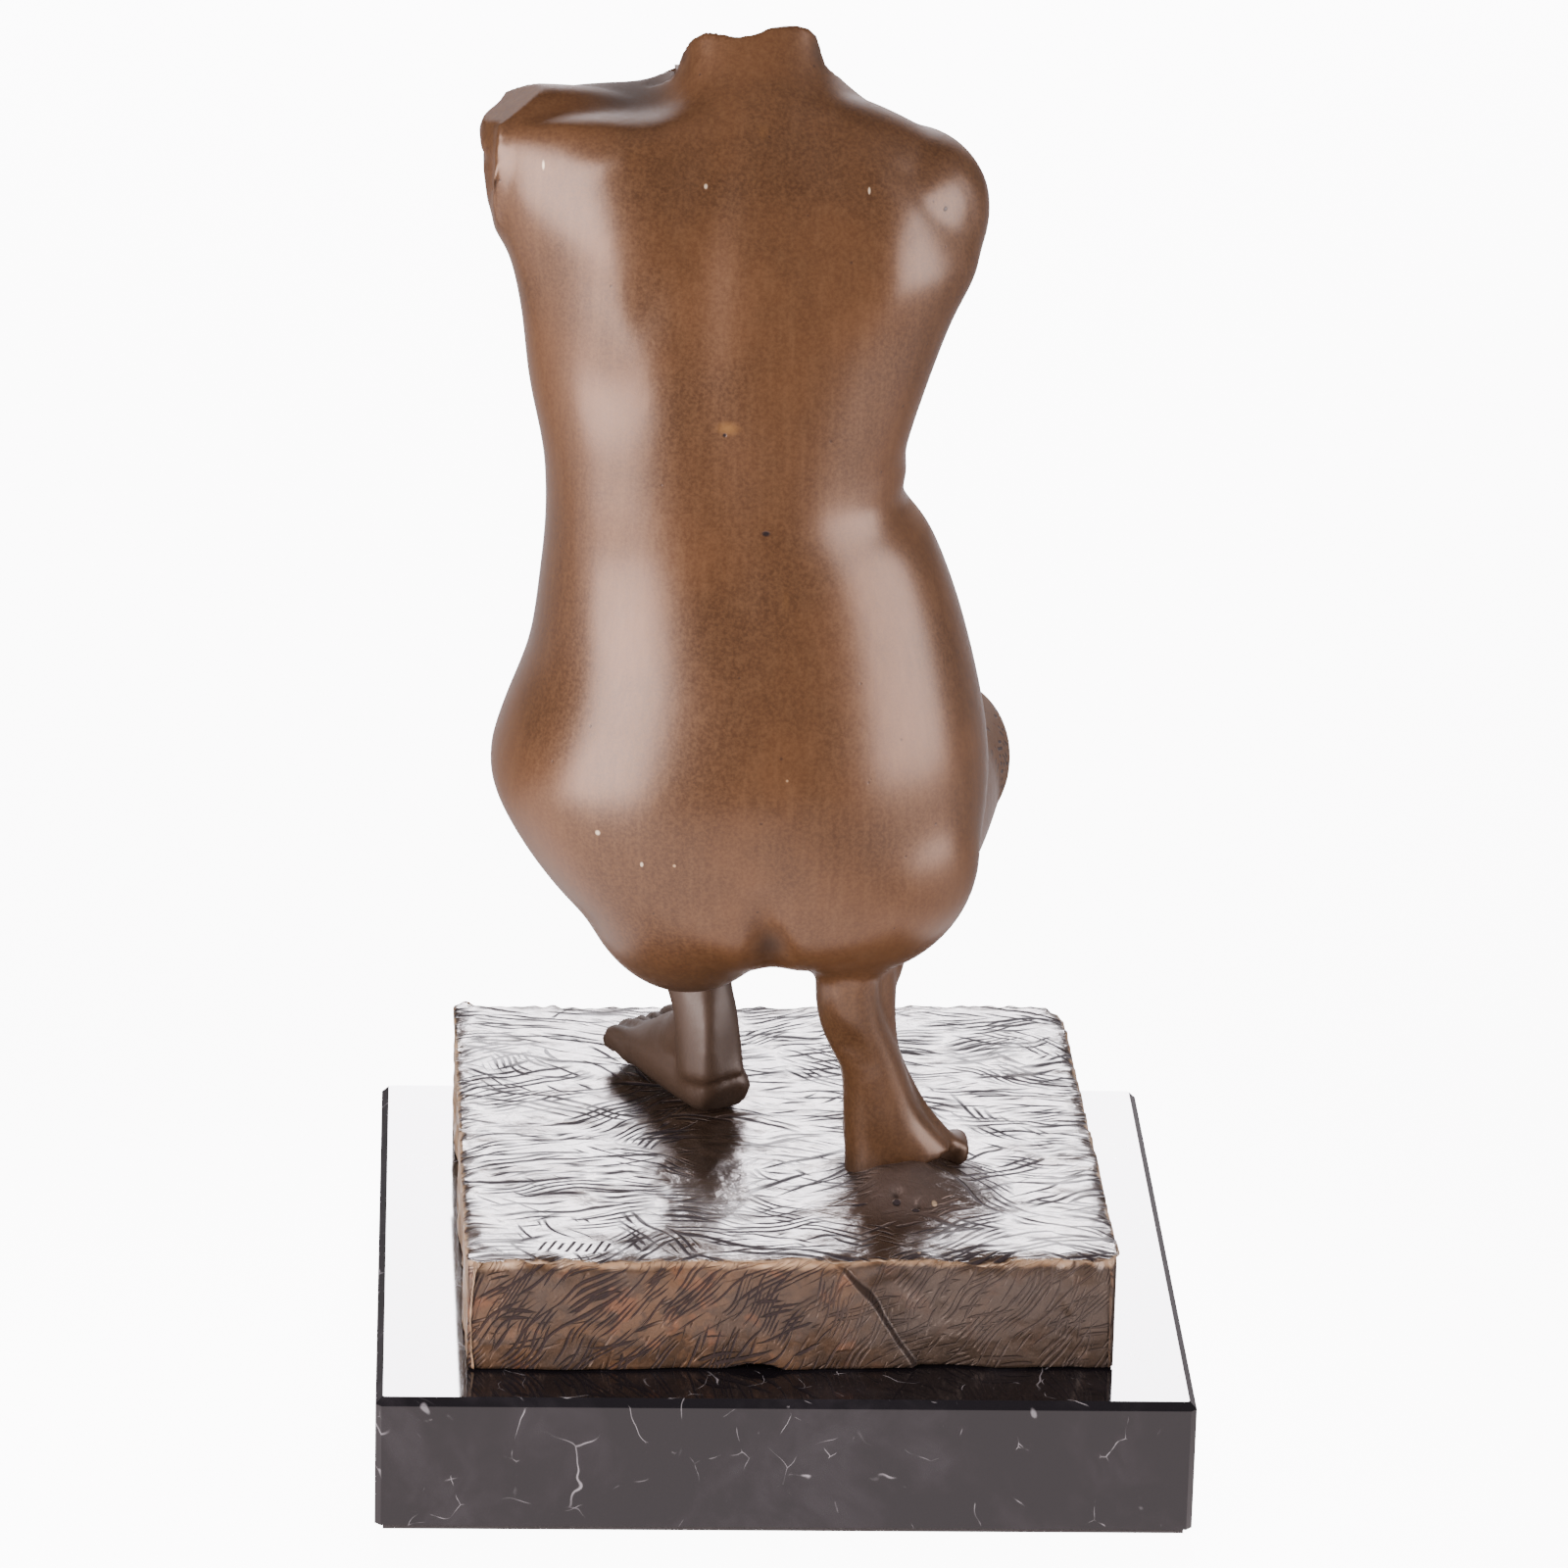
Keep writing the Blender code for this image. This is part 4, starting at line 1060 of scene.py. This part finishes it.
def brown_bronze(speckle, scratches, ovals):
    """Waxed brown patina: warm metal under thin pigment, with grain, rubbed tints and faint scratches, and
    painted shade darkening the lower legs and feet.
    """
    material, nodes, shader = new_material("brown_bronze_looks")
    place = nodes.object_place()
    x, y, height = nodes.split(place)
    _, _, up = nodes.split(nodes.add("ShaderNodeNewGeometry").outputs["Normal"])
    grain, pores, specks = use_speckle(nodes, speckle, place, FIGURE_GRAIN)
    cloud = nodes.noise(place, 38.0, 3.0, 0.6)
    streaks = nodes.band(nodes.noise(nodes.scaled(place, STREAK_SCALE), 1.0), 0.42, 0.75)
    # Painted shade: the lower legs are darkened, the left leg more and the feet most, and they are also
    # duller and less metal.
    legs = nodes.fade(height, *LEG_FADE)
    left_leg = nodes.times(legs, nodes.fade(x, *LEFT_LEG_FADE))
    feet = nodes.fade(height, *FOOT_FADE)
    knee = nodes.times(nodes.band(x, *KNEE_SIDE), nodes.band(height, *KNEE_FOOT))
    knee = nodes.times(nodes.times(knee, nodes.fade(height, *KNEE_HEAD)), nodes.band(y, *KNEE_BACK))
    rasped = strokes(nodes, scratches, nodes.combine(X=y, Y=height), KNEE_STROKES)
    cuts = nodes.most(nodes.times(rasped, knee), spots(nodes, ovals, place, DARK_NICKS, 0.4))
    # Dark patches on the breaks, and painted shade in the top of the seat's cleft.
    stains = spots(nodes, ovals, place, STAINS, 0.1)
    scuffs = nodes.times(spots(nodes, ovals, place, SCUFFS, 0.1), nodes.band(cloud, 0.42, 0.50, 0.25, 0.8))
    pale_nicks = spots(nodes, ovals, place, PALE_NICKS, 0.4)

    colour = nodes.mix(nodes.band(cloud, 0.38, 0.66), BROWN["deep"], BROWN["warm"])
    colour = nodes.layered(colour, (
        (grain, 0.45, BROWN["grain"]), (streaks, 0.10, BROWN["streak"]), (legs, 0.35, BROWN["leg"]),
        (left_leg, 0.7, BROWN["left_leg"]), (feet, 0.75, BROWN["foot"]), (pores, 0.6, BROWN["pore"]),
        (specks, 0.8, BROWN["speck"]), (stains, 0.75, BROWN["stain"]), (knee, 0.6, BROWN["knee"]),
        (scuffs, 1.0, BROWN["scuff"]), (cuts, 1.0, BROWN["cut"]), (pale_nicks, 1.0, BROWN["pale_nick"])))
    matt = nodes.most(knee, stains)
    # Less metal on the dark patches, the rasped knee and the painted shade of the left leg.
    tarnished = nodes.most(matt, nodes.times(left_leg, 0.6))
    dull = nodes.band(up, 0.42, 0.80)
    rough = nodes.linear(dull, 0.35, nodes.linear(grain, 0.08, 0.30))
    rough = nodes.linear(nodes.most(matt, nodes.times(left_leg, 0.5)), 0.3, rough)
    bare = nodes.most(dull, nodes.times(legs, 0.6), matt)
    rises = nodes.linear(nodes.noise(place, 1500.0), 0.35, nodes.times(nodes.noise(place, 210.0), 1.2))
    for mark, deep in ((streaks, 0.08), (pores, 0.8), (cuts, 3.0)):
        rises = nodes.minus(rises, nodes.times(mark, deep))
    nodes.fill(shader, {
        "Base Color": colour, "Metallic": nodes.linear(tarnished, -0.30, 0.30), "Roughness": rough,
        "Coat Weight": nodes.linear(bare, -0.55, 0.55, clamp=True), "Coat Roughness": 0.31, "Coat IOR": 1.45,
        "Normal": nodes.bump(rises, 0.35, 0.00008)})
    return material


def row_of_ticks(nodes, across, down):
    """One row of short slanting ticks near the front edge."""
    slant = nodes.linear(down, TICK_SLANT, across)
    number = nodes.math("DIVIDE", nodes.minus(slant, TICKS_LEFT), TICK_PITCH)
    from_middle = nodes.math("ABSOLUTE", nodes.minus(nodes.math("FRACT", number), 0.5))
    line = nodes.fade(from_middle, 0.13, 0.22)
    ends = nodes.times(nodes.band(number, 0.0, 0.1), nodes.fade(number, TICK_COUNT - 0.1, TICK_COUNT))
    sway = nodes.math("SINE", nodes.times(nodes.math("FLOOR", number), 2.4))
    reach = nodes.linear(sway, TICK_SWAY, TICK_REACH)
    tall = nodes.math("LESS_THAN", nodes.math("ABSOLUTE", nodes.minus(down, TICKS_DOWN)), reach)
    return nodes.times(line, nodes.times(ends, tall))


def slab_marks(nodes, scratches, ovals, flat, wall, top):
    """Mask of the scratches, ticks and pinholes of the slab, and mask of its weld mound."""
    across, down, _ = nodes.split(flat)
    mound = spots(nodes, ovals, flat, [MOUND], 0.25)
    worn = nodes.times(nodes.band(nodes.noise(flat, 60.0), 0.52, 0.62), 0.35)
    calm = nodes.most(worn, spots(nodes, ovals, flat, [SMOOTH_STRIP], 0.4),
                      mound, spots(nodes, ovals, flat, [TICKS_CALM], 0.6))
    top_marks = nodes.times(strokes(nodes, scratches, flat, TOP_STROKES), nodes.minus(1.0, calm, clamp=True))
    wall_marks = nodes.times(strokes(nodes, scratches, flat, WALL_STROKES),
                             nodes.band(across, *WALL_MARKS_FADE, 1.0, 0.35))
    marks = nodes.plus(nodes.times(top_marks, top), nodes.times(wall_marks, wall))
    marks = nodes.most(marks, nodes.times(row_of_ticks(nodes, across, down), top),
                       spots(nodes, ovals, flat, PINHOLES, 0.6))
    return marks, mound


def dark_bronze(speckle, scratches, ovals):
    """Dark waxed casting, scratched all over, with grooves that stay dark, edges rubbed to gold, and painted
    shade on the faces of the front's break that turn to the right.
    """
    material, nodes, shader = new_material("dark_bronze_looks")
    flat = nodes.add("ShaderNodeAttribute", attribute_name="unrolled").outputs["Vector"]
    place = nodes.object_place()
    across, down, _ = nodes.split(flat)
    toward_right, _, _ = nodes.split(nodes.add("ShaderNodeNewGeometry").outputs["Normal"])
    front = nodes.fade(down, -HALF_Y - 0.0006, -HALF_Y - 0.0001)
    side = nodes.band(nodes.math("ABSOLUTE", across), HALF_X, HALF_X + 0.0005)
    left = nodes.fade(across, -HALF_X - 0.0006, -HALF_X - 0.0001)
    wall = nodes.most(front, nodes.most(side, nodes.band(down, HALF_Y, HALF_Y + 0.0005)))
    top = nodes.minus(1.0, wall, clamp=True)
    grain, _, specks = use_speckle(nodes, speckle, place, SLAB_GRAIN)
    marks, mound = slab_marks(nodes, scratches, ovals, flat, wall, top)

    # Gold on the worn edges, ragged by the lumps of the cast
    lumps = nodes.noise(place, 260.0, 3.0, 0.6)
    from_edge = nodes.most(nodes.minus(nodes.math("ABSOLUTE", across), HALF_X),
                           nodes.minus(nodes.math("ABSOLUTE", down), HALF_Y))
    from_edge = nodes.plus(from_edge, nodes.linear(lumps, 0.0024, -0.0012))
    edge = nodes.band(from_edge, -0.0012, -0.0004)
    edge = nodes.times(edge, nodes.band(from_edge, 0.0006, 0.0026, 1.0, 0.08))
    edge = nodes.most(edge, nodes.times(left, 0.8))
    # Painted shade: faces of the front wall that turn to the right, along the steps of its break, are
    # darkened.
    crack = nodes.times(nodes.band(toward_right, 0.35, 0.60), front)
    marks = nodes.times(marks, nodes.linear(edge, -0.6, 1.0))

    clouds = nodes.band(nodes.noise(place, 90.0, 3.0, 0.6), 0.35, 0.65)
    top_colour = nodes.mix(clouds, DARK["top"], DARK["top_cloud"])
    top_colour = nodes.layered(top_colour, ((mound, 0.8, DARK["mound"]),))
    wall_colour = nodes.layered(nodes.mix(clouds, DARK["wall"], DARK["wall_cloud"]), (
        (nodes.band(nodes.noise(place, 210.0), 0.56, 0.68), 0.6, DARK["red"]),
        (nodes.band(nodes.noise(place, 520.0), 0.47, 0.60), 0.6, DARK["mottle"]),
        (nodes.times(front, nodes.band(across, *BREAK_FADE)), 0.85, DARK["broken"])))
    inked = nodes.times(marks, nodes.linear(wall, -0.10, 0.95))
    pale = nodes.most(nodes.times(specks, 0.7), spots(nodes, ovals, flat, [PALE_SPECK], 0.5))
    colour = nodes.layered(nodes.mix(wall, top_colour, wall_colour), (
        (edge, 0.85, DARK["edge"]), (crack, 0.8, DARK["crack"]), (inked, 1.0, DARK["groove"]),
        (pale, 1.0, DARK["speck"])))
    matt = nodes.most(marks, crack)
    rough = nodes.linear(wall, 0.08, nodes.linear(mound, 0.05, 0.33))
    rises = nodes.linear(lumps, 0.8, nodes.times(nodes.noise(place, 130.0), 1.6))
    rises = nodes.linear(grain, 0.06, nodes.minus(rises, nodes.times(marks, 1.8)))
    nodes.fill(shader, {
        "Base Color": colour, "Metallic": nodes.linear(nodes.most(marks, edge), -0.45, 0.45, clamp=True),
        "Roughness": nodes.linear(matt, 0.55, rough), "Coat Roughness": 0.25,
        "Coat Weight": nodes.linear(nodes.most(matt, mound), -0.4, 0.4, clamp=True),
        "Normal": nodes.bump(rises, 1.0, 0.0005)})
    return material


def black_marble():
    """Polished black stone with thin broken white veins, clouds of grey and small white flecks."""
    material, nodes, shader = new_material("black_marble_looks")
    place = nodes.object_place()
    bent = nodes.moved(place, nodes.warp(place, 26.0, 4.0, (0.03, 0.03, 0.03)))
    veins = []
    for scale, width, seed, low, high in VEINS:
        shifted = nodes.moved(bent, (seed, seed, seed))
        borders = nodes.cells(shifted, scale, feature="DISTANCE_TO_EDGE")
        thin = nodes.fade(borders["Distance"], 0.0, width)
        veins.append(nodes.times(thin, nodes.band(nodes.noise(shifted, scale * 2.2), low, high)))
    flecks = scattered(nodes, bent, 260.0, 0.10, 0.22, "Blue", 0.94)
    cloud = nodes.band(nodes.noise(bent, 60.0, 4.0, 0.65), 0.45, 0.75)
    colour = nodes.layered(nodes.mix(cloud, STONE["black"], STONE["cloud"]),
                           ((nodes.most(*veins), 0.7, STONE["vein"]), (flecks, 0.5, STONE["fleck"])))
    nodes.fill(shader, {
        "Base Color": colour, "Roughness": nodes.linear(nodes.noise(place, 400.0), 0.03, 0.045), "IOR": 1.55,
        "Normal": nodes.bump(nodes.noise(place, 55.0, 1.0), 0.05, 0.0002)})
    return material


def black_felt():
    """Pressed felt with a short uneven nap."""
    material, nodes, shader = new_material("black_felt_looks")
    nap = nodes.noise(nodes.object_place(), 2600.0, 3.0, 0.7)
    nodes.fill(shader, {
        "Base Color": nodes.mix(nap, FELT["deep"], FELT["nap"]), "Roughness": 0.95,
        "Sheen Weight": 0.4, "Sheen Roughness": 0.5, "Normal": nodes.bump(nap, 0.7, 0.0002)})
    return material


def add_piece(name, mesh, material, node):
    """A finished piece that stands for one node of the frame."""
    mesh.materials.clear()
    mesh.materials.append(material)
    mesh.name = name
    piece = new_object(name, mesh)
    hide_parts(node)
    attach(piece, "root")


# Stage


def add_floor():
    """Plain pale table top that glows near the object, like the sweep in a light tent."""
    bm = bmesh.new()
    bmesh.ops.create_grid(bm, x_segments=1, y_segments=1, size=5.0)
    mesh = bpy.data.meshes.new("floor")
    bm.to_mesh(mesh)
    bm.free()
    material, nodes, shader = new_material("pale_floor")
    across, toward, _ = nodes.split(nodes.object_place())
    glow = nodes.band(toward, *FLOOR_FRONT_FADE, 0.0, FLOOR_GLOW)
    glow = nodes.times(glow, nodes.band(toward, *FLOOR_BACK_FADE, 1.0, FLOOR_SHADE))
    glow = nodes.times(glow, nodes.band(across, *FLOOR_RIGHT_FADE, 1.0, FLOOR_RIGHT_SHADE))
    seen = nodes.add("ShaderNodeLightPath").outputs["Is Camera Ray"]
    nodes.fill(shader, {
        "Base Color": nodes.mix(seen, FLOOR["base"], FLOOR["base_seen"]), "Roughness": 0.6,
        "Emission Color": nodes.mix(seen, FLOOR["glow"], FLOOR["glow_seen"]),
        "Emission Strength": nodes.linear(seen, FLOOR_SEEN, glow)})
    mesh.materials.append(material)
    new_object("floor", mesh)


def add_softbox(name, place, target, width, height, power, colour):
    """Rectangular light turned toward a target."""
    lamp = bpy.data.lights.new(name, "AREA")
    lamp.shape = "RECTANGLE"
    lamp.size = width
    lamp.size_y = height
    lamp.energy = power
    lamp.color = colour
    item = new_object(name, lamp)
    item.location = place
    item.rotation_euler = (Vector(target) - Vector(place)).to_track_quat("-Z", "Y").to_euler()


def add_world():
    """Dim even room."""
    world = bpy.data.worlds.new("studio")
    bpy.context.scene.world = world
    world.use_nodes = True
    background = world.node_tree.nodes["Background"]
    background.inputs["Color"].default_value = WORLD_COLOUR
    background.inputs["Strength"].default_value = WORLD_STRENGTH


def add_camera():
    """Long lens at the photo's viewing angle."""
    pitch = math.radians(CAMERA_PITCH_DEG)
    yaw = math.radians(CAMERA_YAW_DEG)
    roll = math.radians(CAMERA_ROLL_DEG)
    back = Vector((math.sin(yaw) * math.cos(pitch), -math.cos(yaw) * math.cos(pitch), math.sin(pitch)))
    level = Vector((math.cos(yaw), math.sin(yaw), 0.0))
    upright = back.cross(level)
    right = level * math.cos(roll) + upright * math.sin(roll)
    up = upright * math.cos(roll) - level * math.sin(roll)
    lens = bpy.data.cameras.new("camera")
    lens.lens = CAMERA_LENS
    lens.sensor_width = 36.0
    lens.clip_start = 0.01
    camera = new_object("camera", lens)
    camera.matrix_world = Matrix.Translation(CAMERA_PLACE) @ Matrix((right, up, back)).transposed().to_4x4()
    bpy.context.scene.camera = camera


def main():
    looks = (speckle_group(), stroke_group(), spot_group())
    add_piece("bronze_figure", make_figure(), brown_bronze(*looks), "torso_figure")
    add_piece("bronze_ground", make_slab(), dark_bronze(*looks), "ground_slab")
    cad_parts["marble_plinth"].material_slots[0].material = black_marble()
    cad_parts["felt_pad"].material_slots[0].material = black_felt()
    add_floor()
    add_world()
    for softbox in SOFTBOXES:
        add_softbox(*softbox)
    add_camera()


main()
